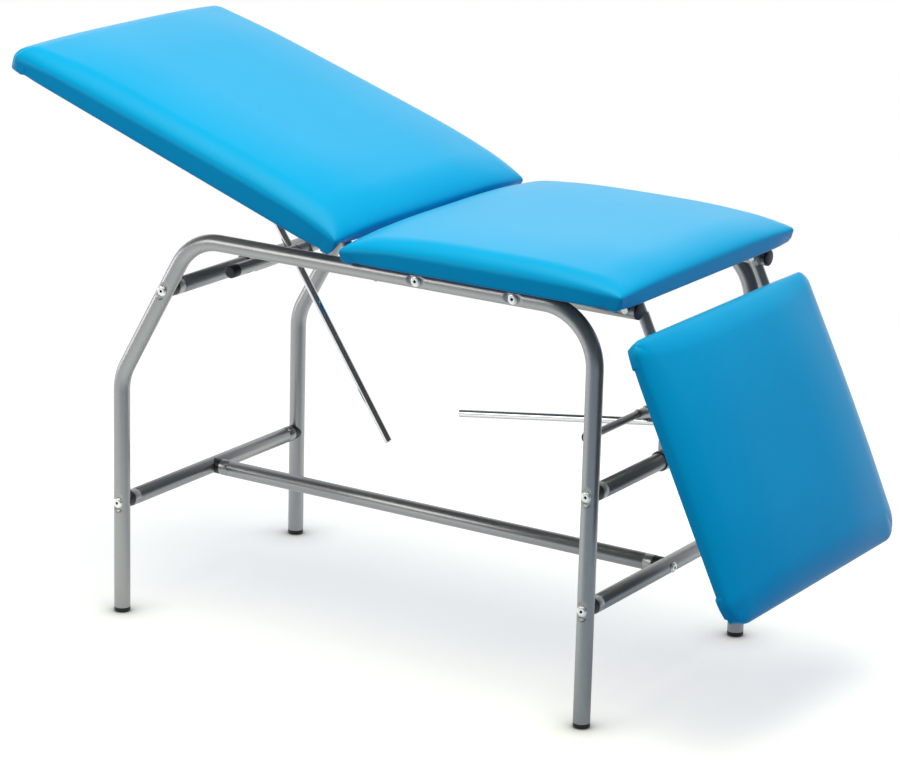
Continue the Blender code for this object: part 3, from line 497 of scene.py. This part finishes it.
# Bolts: cold-headed steel with low round heads, a small hexagon socket and a flat washer, all zinc plated. They
# lie in the pressed flats of the side frames and hold the cross tubes and seat rails; two hold the stretcher.

# Zinc plate: bright and almost white to the eye, with a satin bloom in patches of about 3 mm.
zinc_plate, tree, shader, _, bloom = mottled(
    "zinc_plated_steel", (0.003, 0.003, 0.003), 4.0, "#E8E9E8", "#F8F8F6",
)
shader.inputs["Metallic"].default_value = 0.85
dull = add_node(tree, "ShaderNodeMapRange", {"To Min": 0.22, "To Max": 0.4}, {"Value": bloom})
tree.links.new(dull.outputs[0], shader.inputs["Roughness"])

# Inside a socket: painted shade, a dull dark grey in 1 mm spots that stands in for the shade deep in the socket.
socket_painted_shade, _, shader, _, _ = mottled(
    "painted_shade_bolt_socket", (0.001, 0.001, 0.001), 2.0, "#1C1C1C", "#3A3A39",
)
shader.inputs["Roughness"].default_value = 0.7

bolt_seat = tube_radius - press_depth
stretcher_bolt_sunk = 0.0012
washer_profile = (
    (0.0092, 0.0003), (0.0095, 0.0006), (0.0095, 0.0015), (0.0092, 0.0018), (0.0087, 0.0018), (0.0087, 0.0023),
    (0.0083, 0.0032), (0.0074, 0.0038), (0.0060, 0.0041),
)
socket_radius, socket_depth, socket_z = 0.0029, 0.008, 0.0045
socket_inside, socket_rim_z = 0.0028, 0.0037
master = lathe("bolt_master", washer_profile, 32)
to_object_mode()
bpy.ops.mesh.primitive_cylinder_add(vertices=6, radius=socket_radius, depth=socket_depth)
cut(master, settle(bpy.context.object, (0, 0, socket_z)))
pick(master)
bevel = master.modifiers.new("edge", "BEVEL")
bevel.width = 0.0002
bevel.segments = 2
bevel.limit_method = "ANGLE"
bpy.ops.object.modifier_apply(modifier="edge")
socket_faces = [
    face.index for face in master.data.polygons
    if face.center.xy.length < socket_inside and face.center.z < socket_rim_z
]


def bolt(name, place, rotation, node):
    """A copy of the bolt, set at its seat."""
    pick(master)
    bpy.ops.object.duplicate(linked=False)
    copy = bpy.context.object
    copy.name = name
    settle(copy, place, rotation)
    dress(copy, zinc_plate, "frame", "zinc", node)
    # The faces deep in the socket take the painted shade.
    copy.data.materials.append(socket_painted_shade)
    for index in socket_faces:
        copy.data.polygons[index].material_index = 1


for name, x, z, _ in frame_bolts:
    for side, sign in (("right", -1), ("left", 1)):
        seat = placed(x, sign * (frame_y + bolt_seat), z)
        bolt(f"bolt_head_{name}_{side}", seat, (math.radians(-90 * sign), 0, 0), f"bolt_{name}_{side}")
for end, x, sign in (("head", -tube_radius, -1), ("foot", foot_leg_x + tube_radius, 1)):
    seat = placed(x - sign * stretcher_bolt_sunk, 0, lower_z)
    bolt(f"bolt_head_stretcher_{end}", seat, (0, math.radians(90 * sign), 0), f"bolt_stretcher_{end}")
bpy.data.objects.remove(master, do_unlink=True)

# Seat rails: two straight lengths of the same tube inside the side frames, welded to short spacers that hold
# them off, powder coated, with a black disc cap in each end. They carry the seat board and both hinges.
rail_y = 0.232
rail_x = (0.515, 1.034)
rail_cap_gap = 0.0003
spacer_radius, spacer_overlap = 0.009, 0.002
spacer_length = frame_y - rail_y - tube_radius + spacer_overlap
rail_cap_profile = (
    (0.0130, -0.004), (0.0143, -0.0034), (0.0150, -0.0022), (0.0150, 0.0), (0.0133, 0.0), (0.0133, 0.006),
)
for side, sign in (("right", -1), ("left", 1)):
    rail = lathe(f"seat_rail_tube_{side}", ((tube_radius, 0.0), (tube_radius, rail_x[1] - rail_x[0])))
    settle(rail, placed(rail_x[0], sign * rail_y, rail_z), (0, math.radians(90), 0))
    dress(rail, silver_coat, "frame", "powder_coat", f"seat_rail_{side}")
    for place, x in seat_bolt_x.items():
        start = placed(x, sign * (rail_y + tube_radius - spacer_overlap), rail_z)
        piece = lathe(f"rail_spacer_{place}_{side}", ((spacer_radius, 0.0), (spacer_radius, spacer_length)))
        settle(piece, start, (math.radians(-90 * sign), 0, 0))
        hollowed(piece, placed(x, sign * frame_y, rail_z), lengthwise)
        dress(piece, silver_coat, "frame", "powder_coat")
    for end, x, turn in (("head", rail_x[0] - rail_cap_gap, 90), ("foot", rail_x[1] + rail_cap_gap, -90)):
        cap = lathe(f"rail_disc_{end}_{side}", rail_cap_profile)
        settle(cap, placed(x, sign * rail_y, rail_z), (0, math.radians(turn), 0))
        dress(cap, black_plastic, "frame", "black_plastic", f"seat_rail_cap_{end}_{side}")

# Pads: foam on a plywood board under blue vinyl, stretched and stapled below the board. The tight cover swells to
# a crown, rolls over the edges, and is pulled down at the corners to folded pleats whose flaps show on the long
# sides. The backrest's walls hang below its board. All is shaped in mesh code, without a cloth simulation.

# Upholstery vinyl: soft plastic on cloth, an even sky blue to the eye, with a sheen only where it is seen along
# the surface, clouds of tone 120 mm wide, and an embossed pebble grain drawn at 2.2 mm so that it shows.
vinyl, tree, shader, spot, _ = mottled("blue_upholstery_vinyl", (0.12, 0.12, 0.12), 3.0, "#008FC6", "#0095CB")
shader.inputs["IOR"].default_value = 1.5
pebble = add_node(tree, "ShaderNodeTexVoronoi", {"Scale": 1 / 0.0022}, {"Vector": spot}).outputs["Distance"]
dull = add_node(tree, "ShaderNodeMapRange", {"To Min": 0.34, "To Max": 0.42}, {"Value": pebble})
tree.links.new(dull.outputs[0], shader.inputs["Roughness"])
bump = add_node(tree, "ShaderNodeBump", {"Strength": 0.05, "Distance": 0.0003}, {"Height": pebble})
tree.links.new(bump.outputs[0], shader.inputs["Normal"])
slanting = add_node(tree, "ShaderNodeLayerWeight", {"Blend": 0.5})
sheen = add_node(
    tree, "ShaderNodeMapRange", {"From Min": 0.45, "From Max": 0.82, "To Min": 0.07, "To Max": 0.45},
    {"Value": slanting.outputs["Facing"]}, interpolation_type="SMOOTHSTEP",
)
tree.links.new(sheen.outputs[0], shader.inputs["Specular IOR Level"])

hinge_z = 0.7335
board_gap, board_thickness, cover_gap = 0.0003, 0.012, 0.0008
board_low = rail_z + tube_radius + board_gap - hinge_z
board_top = board_low + board_thickness
pad_base = board_low + cover_gap
pad_half = 0.310
row_spacing = 0.014
crown_reach, crown_power = 0.2, 2.2
pinch_reach, tighten_reach = 0.065, 0.09
sag, sag_reach = 0.010, 0.12
blend, least_share = 1.4, 0.001
undercut, undercut_reach, corner_lip = 0.005, 0.04, 0.6
flap_thickness, flap_drop, flap_side, flap_margin = 0.0013, 0.003, 0.008, 0.0002
fold_inset, fold_depth, fold_width, fold_reach = 0.0048, 0.0012, 0.0012, 0.02
skirt_clear, skirt_fade, skirt_lift = 0.002, 0.006, 0.03
recess_inset = 0.0114
PadForm = namedtuple("PadForm", "wall side_roll shoulder crown")
PadEnd = namedtuple("PadEnd", "roll pinch tighten corner flap")


def insets(half, roll, extra):
    """Distances in from an edge where rows of the cover lie: close on the roll, at extra rows, then evenly."""
    rows = [roll * (1 - math.cos(math.radians(a))) for a in range(0, 91, 6)] + list(extra)
    count = math.ceil((half - roll) / row_spacing)
    return sorted(rows + [roll + (half - roll) * k / count for k in range(1, count)])


def stations(half, low_insets, high_insets):
    """Distances from the middle of the rows at given insets from the two edges."""
    return [inset - half for inset in low_insets] + [0.0] + [half - inset for inset in reversed(high_insets)]


def rolled(inset, roll):
    """The share of its height that the cover has reached at a distance in from an edge."""
    return math.sqrt(1 - (1 - min(inset / roll, 1)) ** 2)


def swell(inset):
    """The share of the crown that the foam has reached at a distance in from an edge."""
    return 1 - (1 - min(inset / crown_reach, 1)) ** crown_power


def near(distance, reach):
    """A share that falls smoothly from 1 at an edge to almost nothing at twice the reach."""
    return math.exp(-((distance / reach) ** 2))


def cover_height(in_x, in_y, form, end):
    """The height of the cover above its lower edge, from the distances to the two nearest edges."""
    wall = form.wall * (1 - end.pinch * near(in_x, pinch_reach) * near(in_y, pinch_reach))
    pull = (1 - end.tighten) * near(in_x, sag_reach) * near(in_y, sag_reach)
    top = form.shoulder + (form.crown - form.shoulder) * swell(in_x) * swell(in_y) - sag * pull
    side_roll = form.side_roll * (1 - end.tighten * near(in_x, tighten_reach))
    end_roll = end.roll * (1 - end.tighten * near(in_y, tighten_reach))
    x_share = max(rolled(in_x, end_roll), least_share)
    y_share = max(rolled(in_y, side_roll), least_share)
    both = (x_share**-blend + y_share**-blend - 1) ** (-1 / blend)
    return wall + (top - wall) * both


def padded_cover(name, low, high, hinge_x, angle, body, node, form, ends, skirt=(0.0, 0.0)):
    """A closed pad in its section's own frame, from low to high: the crowned cover, its walls, and the recess for
    the board. A form gives the heights of the wall, the shoulder and the crown, and the width of the roll along
    the sides. An end gives the width of its roll, the shares by which its corners are pinched and the rolls
    tighten there, the corner radius and the length of its flaps. The walls hang below the board by the skirt's
    depth at each end, but only outside the side frames, which the flat section comes down between."""
    half = (high - low) / 2
    xs = stations(half, *[insets(half, end.roll, (end.flap, end.flap + fold_width)) for end in ends])
    sides = insets(pad_half, form.side_roll, (fold_inset - fold_width, fold_inset, fold_inset + fold_width))
    ys = stations(pad_half, sides, sides)
    to_object_mode()
    bpy.ops.mesh.primitive_grid_add(x_subdivisions=len(xs) - 1, y_subdivisions=len(ys) - 1, size=1.0)
    piece = bpy.context.object
    piece.name = name
    square = []
    for vertex in piece.data.vertices:
        x = xs[round((vertex.co.x + 0.5) * (len(xs) - 1))]
        y = ys[round((vertex.co.y + 0.5) * (len(ys) - 1))]
        square.append((x, y))
        in_x, in_y = half - abs(x), pad_half - abs(y)
        end = ends[0] if x < 0 else ends[1]
        top = pad_base + cover_height(in_x, in_y, form, end)
        u, v = end.corner - in_x, end.corner - in_y
        if u > 0 and v > 0:
            squeeze = max(u, v) / math.hypot(u, v)
            x -= math.copysign(u - u * squeeze, x)
            y -= math.copysign(v - v * squeeze, y)
        if abs(in_y - fold_inset) < fold_width / 2 and in_x < fold_reach:
            depth = fold_depth * (1 - in_x / fold_reach)
            x -= math.copysign(depth, x)
            top -= depth
        vertex.co = (x, y, top)
    pick(piece)
    bpy.ops.object.mode_set(mode="EDIT")
    bpy.ops.mesh.select_all(action="SELECT")
    bpy.ops.mesh.region_to_loop()
    bpy.ops.object.mode_set(mode="OBJECT")
    rim = [(v.co.copy(), square[v.index]) for v in piece.data.vertices if v.select]

    def ring(inset, share, level, flap):
        """Extrudes the rim once more and lays it at an inset, at a share of the rim's height above a level, with
        the flaps of the corner folds standing out by a share of their thickness."""
        pick(piece)
        bpy.ops.object.mode_set(mode="EDIT")
        bpy.ops.mesh.extrude_region_move(TRANSFORM_OT_translate={"value": (0, 0, 0)})
        bpy.ops.object.mode_set(mode="OBJECT")
        lip = corner_lip * (1 - share)
        for v in [v for v in piece.data.vertices if v.select]:
            start, raw = min(rim, key=lambda c: (c[0].x - v.co.x) ** 2 + (c[0].y - v.co.y) ** 2)
            in_x, in_y = half - abs(raw[0]), pad_half - abs(raw[1])
            end = ends[0] if raw[0] < 0 else ends[1]
            tuck = drop = 0.0
            if level == pad_base:
                tuck = undercut * (1 - share) * near(in_x, undercut_reach) * near(in_y, undercut_reach)
            x = (start.x + (raw[0] - start.x) * lip) * (half - inset - tuck) / half
            y = (start.y + (raw[1] - start.y) * lip) * (pad_half - inset - tuck) / pad_half
            if level == pad_base:
                beside = min(max((abs(y) - frame_y - tube_radius - skirt_clear) / skirt_fade, 0), 1)
                drop = (skirt[0] + (skirt[1] - skirt[0]) * (start.x + half) / (2 * half)) * (1 - share) * beside
                if inset:
                    drop *= 1 - near(in_x, skirt_lift)
            if in_x < end.flap + flap_margin and pad_half - abs(y) < flap_side:
                y += math.copysign(flap_thickness * flap, y)
                drop += flap_drop * flap * (1 - share)
            v.co = (x, y, level + (start.z - pad_base) * share - drop)

    for share, flap in ((0.8, 0.3), (0.6, 0.6), (0.4, 0.8), (0.2, 1.0), (0.06, 1.0)):
        ring(0.0, share, pad_base, flap)
    for inset, flap in ((0.0012, 0.9), (0.0060, 0.0), (recess_inset, 0.0)):
        ring(inset, 0.0, pad_base, flap)
    ring(recess_inset, 0.0, board_top + board_gap, 0.0)
    pick(piece)
    bpy.ops.object.mode_set(mode="EDIT")
    bpy.ops.mesh.edge_face_add()
    bpy.ops.object.mode_set(mode="OBJECT")
    recalculate(piece)
    settle(piece, ((low + high) / 2, 0, 0))
    settle(piece, placed(hinge_x, 0, hinge_z), (0, angle, 0))
    dress(piece, vinyl, body, "vinyl", node, angle=60)
    return piece


back_hinge_x, back_angle = 0.549, math.radians(18.0)
leg_hinge_x, leg_angle = 1.020, math.radians(64.5)
padded_cover(
    "seat_cushion", 0.4875 - back_hinge_x, 1.045 - back_hinge_x, back_hinge_x, 0.0, "frame", "seat_pad",
    PadForm(wall=0.024, side_roll=0.042, shoulder=0.052, crown=0.062),
    (
        PadEnd(roll=0.075, pinch=0.40, tighten=0.0, corner=0.004, flap=0.022),
        PadEnd(roll=0.075, pinch=0.15, tighten=0.0, corner=0.004, flap=0.022),
    ),
)
padded_cover(
    "back_cushion", -0.830, -0.0765, back_hinge_x, back_angle, "backrest", "back_pad",
    PadForm(wall=0.018, side_roll=0.050, shoulder=0.046, crown=0.060),
    (
        PadEnd(roll=0.048, pinch=0.50, tighten=0.25, corner=0.024, flap=0.040),
        PadEnd(roll=0.075, pinch=0.60, tighten=0.0, corner=0.004, flap=0.022),
    ),
    skirt=(0.006, 0.020),
)
padded_cover(
    "leg_cushion", 0.052, 0.552, leg_hinge_x, leg_angle, "leg_rest", "leg_pad",
    PadForm(wall=0.013, side_roll=0.055, shoulder=0.033, crown=0.047),
    (
        PadEnd(roll=0.050, pinch=0.0, tighten=0.30, corner=0.025, flap=0.042),
        PadEnd(roll=0.060, pinch=0.0, tighten=0.20, corner=0.050, flap=0.056),
    ),
)


# Carriers: below each moving section, two bent arms end in flat eyes on the hinge pins, with a cross bar and
# a pair of ears for the strut. Round tube and pressed plate, welded and powder coated in one go.
def link_plate(name, first, first_radius, second, second_radius, low_y, high_y):
    """A flat plate in the XZ plane, rounded about two points: the hull of two discs, with broken edges."""
    to_object_mode()
    depth, middle = high_y - low_y, (low_y + high_y) / 2
    bpy.ops.mesh.primitive_cylinder_add(vertices=40, radius=first_radius, depth=depth)
    piece = settle(bpy.context.object, (first[0], middle, first[1]), (math.radians(90), 0, 0))
    piece.name = name
    bpy.ops.object.mode_set(mode="EDIT")
    bpy.ops.mesh.primitive_cylinder_add(
        vertices=40, radius=second_radius, depth=depth, location=(second[0], middle, second[1]),
        rotation=(math.radians(90), 0, 0),
    )
    bpy.ops.mesh.select_all(action="SELECT")
    bpy.ops.mesh.convex_hull()
    bpy.ops.mesh.dissolve_limited(angle_limit=math.radians(1))
    bpy.ops.object.mode_set(mode="OBJECT")
    edge = piece.modifiers.new("edge", "BEVEL")
    edge.width = 0.0005
    edge.segments = 2
    edge.limit_method = "ANGLE"
    edge.angle_limit = math.radians(50)
    bpy.ops.object.modifier_apply(modifier="edge")
    return piece


def drill(piece, place, radius, reach):
    """Bores a hole along Y through a place given as (x, y, z)."""
    to_object_mode()
    bpy.ops.mesh.primitive_cylinder_add(vertices=40, radius=radius, depth=reach)
    return cut(piece, settle(bpy.context.object, place, (math.radians(90), 0, 0)))


arm_setback, arm_radius, arm_bend, arm_wall = 0.027, 0.010, 0.024, 0.0015
arm_y = rail_y - arm_setback
arm_z = rail_z + tube_radius - arm_radius - hinge_z
hinge_eye_radius, hinge_eye_half, hinge_bore = 0.009, 0.004, 0.0043
neck_radius, neck_reach = 0.0077, 0.012
ear_low, ear_high, ear_radius, pin_bore = 0.0085, 0.0125, 0.0085, 0.0033
carrier_bar_radius = 0.0093
# Each carrier, in its section's own frame about the hinge: the arms' line, the cross bar and the strut's eye.
for label, body, hinge_x, angle, arm_line, bar_x, strut_eye in (
    ("back", "backrest", back_hinge_x, back_angle,
     ((-0.034, -0.046), (-0.088, -0.046), (-0.136, arm_z), (-0.755, arm_z)), -0.6042, (-0.5722, -0.0011)),
    ("leg", "leg_rest", leg_hinge_x, leg_angle, ((0.016, arm_z), (0.472, arm_z)), 0.2918, (0.2598, -0.0140)),
):
    welded = []
    corners = [Vector((x, -arm_y, z)) for x, z in arm_line]
    arm = bent_tube(f"{label}_arm_right", corners, arm_bend, arm_radius, 28, wall=arm_wall)
    start = corners[0] + (corners[1] - corners[0]).normalized() * neck_reach
    neck = link_plate(
        f"{label}_arm_eye_right", (0, 0), hinge_eye_radius, (start.x, start.z), neck_radius,
        -arm_y - hinge_eye_half, -arm_y + hinge_eye_half,
    )
    drill(neck, (0, -arm_y, 0), hinge_bore, 0.03)
    ear = link_plate(
        f"{label}_strut_ear_right", (bar_x, arm_z), ear_radius, strut_eye, ear_radius, -ear_high, -ear_low,
    )
    drill(ear, (strut_eye[0], -0.01, strut_eye[1]), pin_bore, 0.02)
    for piece in (arm, neck, ear):
        welded += [piece, twin(piece, piece.name.replace("right", "left"), (1, -1, 1))]
    bar = lathe(f"{label}_carrier_bar", ((carrier_bar_radius, -arm_y), (carrier_bar_radius, arm_y)))
    welded.insert(0, settle(bar, (bar_x, 0, arm_z), across))
    for piece in welded:
        settle(piece, placed(hinge_x, 0, hinge_z), (0, angle, 0))
        dress(piece, silver_coat, body, "powder_coat")
    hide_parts(f"{label}_frame")

# Struts: ground steel rods, hard chromed, pinned between the ears and free at the far end, which a dark plug
# closes. Each slides through its lock when the section is raised or lowered.

# Chrome plate: polished, so it mirrors the room in sharp light and dark bands, with a faint haze in 6 mm patches.
chrome, tree, shader, _, haze = mottled(
    "polished_chrome_plate", (0.006, 0.006, 0.006), 4.0, "#D2D5D7", "#E2E4E5",
)
shader.inputs["Metallic"].default_value = 1.0
dull = add_node(tree, "ShaderNodeMapRange", {"To Min": 0.04, "To Max": 0.08}, {"Value": haze})
tree.links.new(dull.outputs[0], shader.inputs["Roughness"])

rod_radius, rod_edge, rod_rim = 0.007, 0.0012, 0.0022
plug_radius = 0.0047
back_rod_angle, leg_rod_angle = math.radians(55.7759), math.radians(-8.0589)
for label, eye_x, eye_z, angle, heading, length in (
    ("back", 0.004465, 0.909273, back_rod_angle, 1, 0.700), ("leg", 1.119211, 0.492981, leg_rod_angle, -1, 0.575),
):
    rod = lathe(f"{label}_strut_rod", (
        (0.0060, -0.0090), (rod_radius, -0.0082), (rod_radius, length - rod_edge), (rod_radius - rod_edge, length),
        (rod_radius - rod_rim, length), (rod_radius - rod_rim, length - 0.0060),
    ), 36)
    settle(rod, (0, 0, 0), (0, math.radians(90 * heading), 0))
    drill(rod, (0, 0, 0), pin_bore, 0.03)
    plug = lathe(f"{label}_strut_plug", (
        (plug_radius, length - 0.0062), (plug_radius, length - 0.0016), (0.0040, length - 0.0006),
        (0.0015, length - 0.0002),
    ), 24)
    settle(plug, (0, 0, 0), (0, math.radians(90 * heading), 0))
    for piece in (rod, plug):
        settle(piece, placed(eye_x, 0, eye_z), (0, angle, 0))
    dress(rod, chrome, f"{label}_strut", "chrome", f"{label}_rod")
    dress(plug, black_plastic, f"{label}_strut", "black_plastic")

# Locks: a sleeve that swivels on a cross tube on a black bush, welded to two pressed cheeks that guide the strut
# and carry the release bar's stub, all powder coated. The release bar spans the table on two levers and has
# black moulded ends for the hands.
def drum(name, radius, half):
    """A straight drum along Y with broken edges, as long as twice its half."""
    edge = 0.0005
    profile = ((radius - edge, -half), (radius, -half + edge), (radius, half - edge), (radius - edge, half))
    return settle(lathe(name, profile), (0, 0, 0), across)


sleeve_radius, sleeve_half, sleeve_bore = 0.0181, 0.042, 0.0170
bush_radius, bush_half, bush_bore = 0.0167, 0.0432, tube_radius + 0.0003
cheek_radius, cheek_low, cheek_high = 0.0195, 0.009, 0.013
lever_low, lever_high, lever_eye_radius, lever_edge = 0.0136, 0.0166, 0.0085, 0.0015
stub_radius, stub_head_radius, stub_head_gap, stub_bore = 0.0040, 0.0060, 0.0006, 0.0043
knob_radius, knob_overlap = 0.010, 0.004
grip_length, grip_gap = 0.020, 0.0002
slot_half, slot_radius, slot_y = 0.0075, 0.0024, -0.172
through = 0.2
# Each lock: its cross tube's place and the strut's angle, then, in the lock's own plane about that tube, the crank
# of the cheeks, the strap's radius, the levers' hub, and the release bar's place, radius and half length.
for label, x, z, angle, crank, strap_radius, hub, bar_at, bar_radius, bar_half in (
    ("back", upper_x, upper_z, back_rod_angle, (0.020, 0.055), 0.0085, (0.052, 0.101), (0.0256, 0.1006), 0.0115,
     frame_y - 0.0575),
    ("leg", foot_leg_x, middle_z, leg_rod_angle, (-0.002, 0.040), 0.0115, (-0.004, 0.0811), (-0.050, 0.0762), 0.007,
     0.196),
):
    sleeve = drill(drum(f"{label}_lock_sleeve", sleeve_radius, sleeve_half), (0, 0, 0), sleeve_bore, through)
    cheek = link_plate(
        f"{label}_lock_cheek_right", (0, 0), cheek_radius, crank, strap_radius, -cheek_high, -cheek_low,
    )
    strap = link_plate(f"{label}_lock_strap", crank, strap_radius, hub, strap_radius, -cheek_high, -cheek_low)
    cut(cheek, strap, "UNION")
    drill(cheek, (0, 0, 0), sleeve_bore, through)
    head = lever_high + stub_head_gap
    half_stub = [
        (stub_radius, head), (stub_head_radius, head), (stub_head_radius, head + 0.0014), (0.0050, head + 0.002),
    ]
    stub = lathe(f"{label}_lock_stub", [(r, -y) for r, y in reversed(half_stub)] + half_stub, 24)
    settle(stub, (hub[0], 0, hub[1]), across)
    fork = [sleeve, cheek, twin(cheek, f"{label}_lock_cheek_left", (1, -1, 1)), stub]
    bush = drill(drum(f"{label}_lock_bush_ring", bush_radius, bush_half), (0, 0, 0), bush_bore, through)

    lever = link_plate(
        f"{label}_lever_right", bar_at, bar_radius + lever_edge, hub, lever_eye_radius, -lever_high, -lever_low,
    )
    drill(lever, (hub[0], 0, hub[1]), stub_bore, 0.05)
    tube_half = bar_half - (grip_length + grip_gap if label == "back" else knob_overlap)
    handle = lathe(f"{label}_release_tube", ((bar_radius, -tube_half), (bar_radius, tube_half)))
    settle(handle, (bar_at[0], 0, bar_at[1]), across)
    if label == "back":
        opening = link_plate(
            "release_tube_slot", (-slot_half, 0), slot_radius, (slot_half, 0), slot_radius, -0.0125, 0.0,
        )
        settle(opening, (0, 0, 0), (0, 0, math.radians(90)))
        cut(handle, settle(opening, (bar_at[0], slot_y, bar_at[1])))
    grip_radius = bar_radius if label == "back" else knob_radius
    grip = lathe(f"{label}_grip_right", (
        (grip_radius - 0.0008, 0.0), (grip_radius, 0.0008), (grip_radius, grip_length - 0.0030),
        (grip_radius - 0.0007, grip_length - 0.0013), (grip_radius - 0.0020, grip_length - 0.0003),
        (grip_radius - 0.0035, grip_length),
    ))
    settle(grip, (bar_at[0], -bar_half + grip_length, bar_at[1]), (math.radians(90), 0, 0))
    if label == "leg":
        drill(grip, (bar_at[0], -bar_half + grip_length, bar_at[1]), bar_radius + grip_gap, 0.032)
    grips = [grip, twin(grip, f"{label}_grip_left", (1, -1, 1))]
    release = [handle, lever, twin(lever, f"{label}_lever_left", (1, -1, 1))]
    for piece in fork + [bush] + release + grips:
        settle(piece, placed(x, 0, z), (0, angle, 0))
    for piece in fork:
        dress(piece, silver_coat, f"{label}_lock", "powder_coat")
    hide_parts(f"{label}_lock")
    dress(bush, black_plastic, f"{label}_lock", "black_plastic", f"{label}_lock_bush")
    for piece in release:
        dress(piece, silver_coat, f"{label}_release", "powder_coat")
    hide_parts(f"{label}_release_bar")
    ends = "back_release_cap" if label == "back" else "leg_release_knob"
    for piece, side in zip(grips, ("right", "left")):
        dress(piece, black_plastic, f"{label}_release", "black_plastic", f"{ends}_{side}")

# Boards, pins and springs keep their CAD forms. The boards are birch plywood, stained dark and screwed up from
# the rails and arms; the pins are turned and zinc plated; the springs are coiled from hard-drawn wire.

# Stained plywood: birch under a thin matt stain, so a mid grey-brown to the eye, with streaks of grain 150 mm long
# and 5 mm wide, and plies 1.5 mm thick on the edges.
stained_ply, tree, shader, _, streak = mottled(
    "dark_stained_plywood", (0.15, 0.005, 0.0015), 4.0, "#75716C", "#8B8680", (0.3, 0.7),
)
shader.inputs["Roughness"].default_value = 0.6
bump = add_node(tree, "ShaderNodeBump", {"Strength": 0.2, "Distance": 0.0003}, {"Height": streak})
tree.links.new(bump.outputs[0], shader.inputs["Normal"])

# Spring wire: drawn steel, so a grey, oily metal to the eye, with fine streaks drawn at 1 mm so that they show.
spring_wire, tree, shader, _, streak = mottled(
    "drawn_spring_wire", (0.001, 0.001, 0.001), 3.0, "#6B6D70", "#94969A",
)
shader.inputs["Metallic"].default_value = 1.0
dull = add_node(tree, "ShaderNodeMapRange", {"To Min": 0.25, "To Max": 0.45}, {"Value": streak})
tree.links.new(dull.outputs[0], shader.inputs["Roughness"])

for section in ("back", "seat", "leg"):
    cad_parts[f"{section}_board"].data.materials.clear()
    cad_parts[f"{section}_board"].data.materials.append(stained_ply)
for section in ("back", "leg"):
    turned = [(f"{section}_hinge_pin_{side}", zinc_plate) for side in ("left", "right")]
    turned += [(f"{section}_rod_pin", zinc_plate), (f"{section}_release_spring", spring_wire)]
    for node, material in turned:
        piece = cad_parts[node]
        piece.data.materials.clear()
        piece.data.materials.append(material)
        piece.data.polygons.foreach_set("use_smooth", [True] * len(piece.data.polygons))
        merge = piece.modifiers.new("merge", "WELD")
        merge.merge_threshold = 0.00001
        part = piece.modifiers.new("part", "EDGE_SPLIT")
        part.split_angle = math.radians(35)
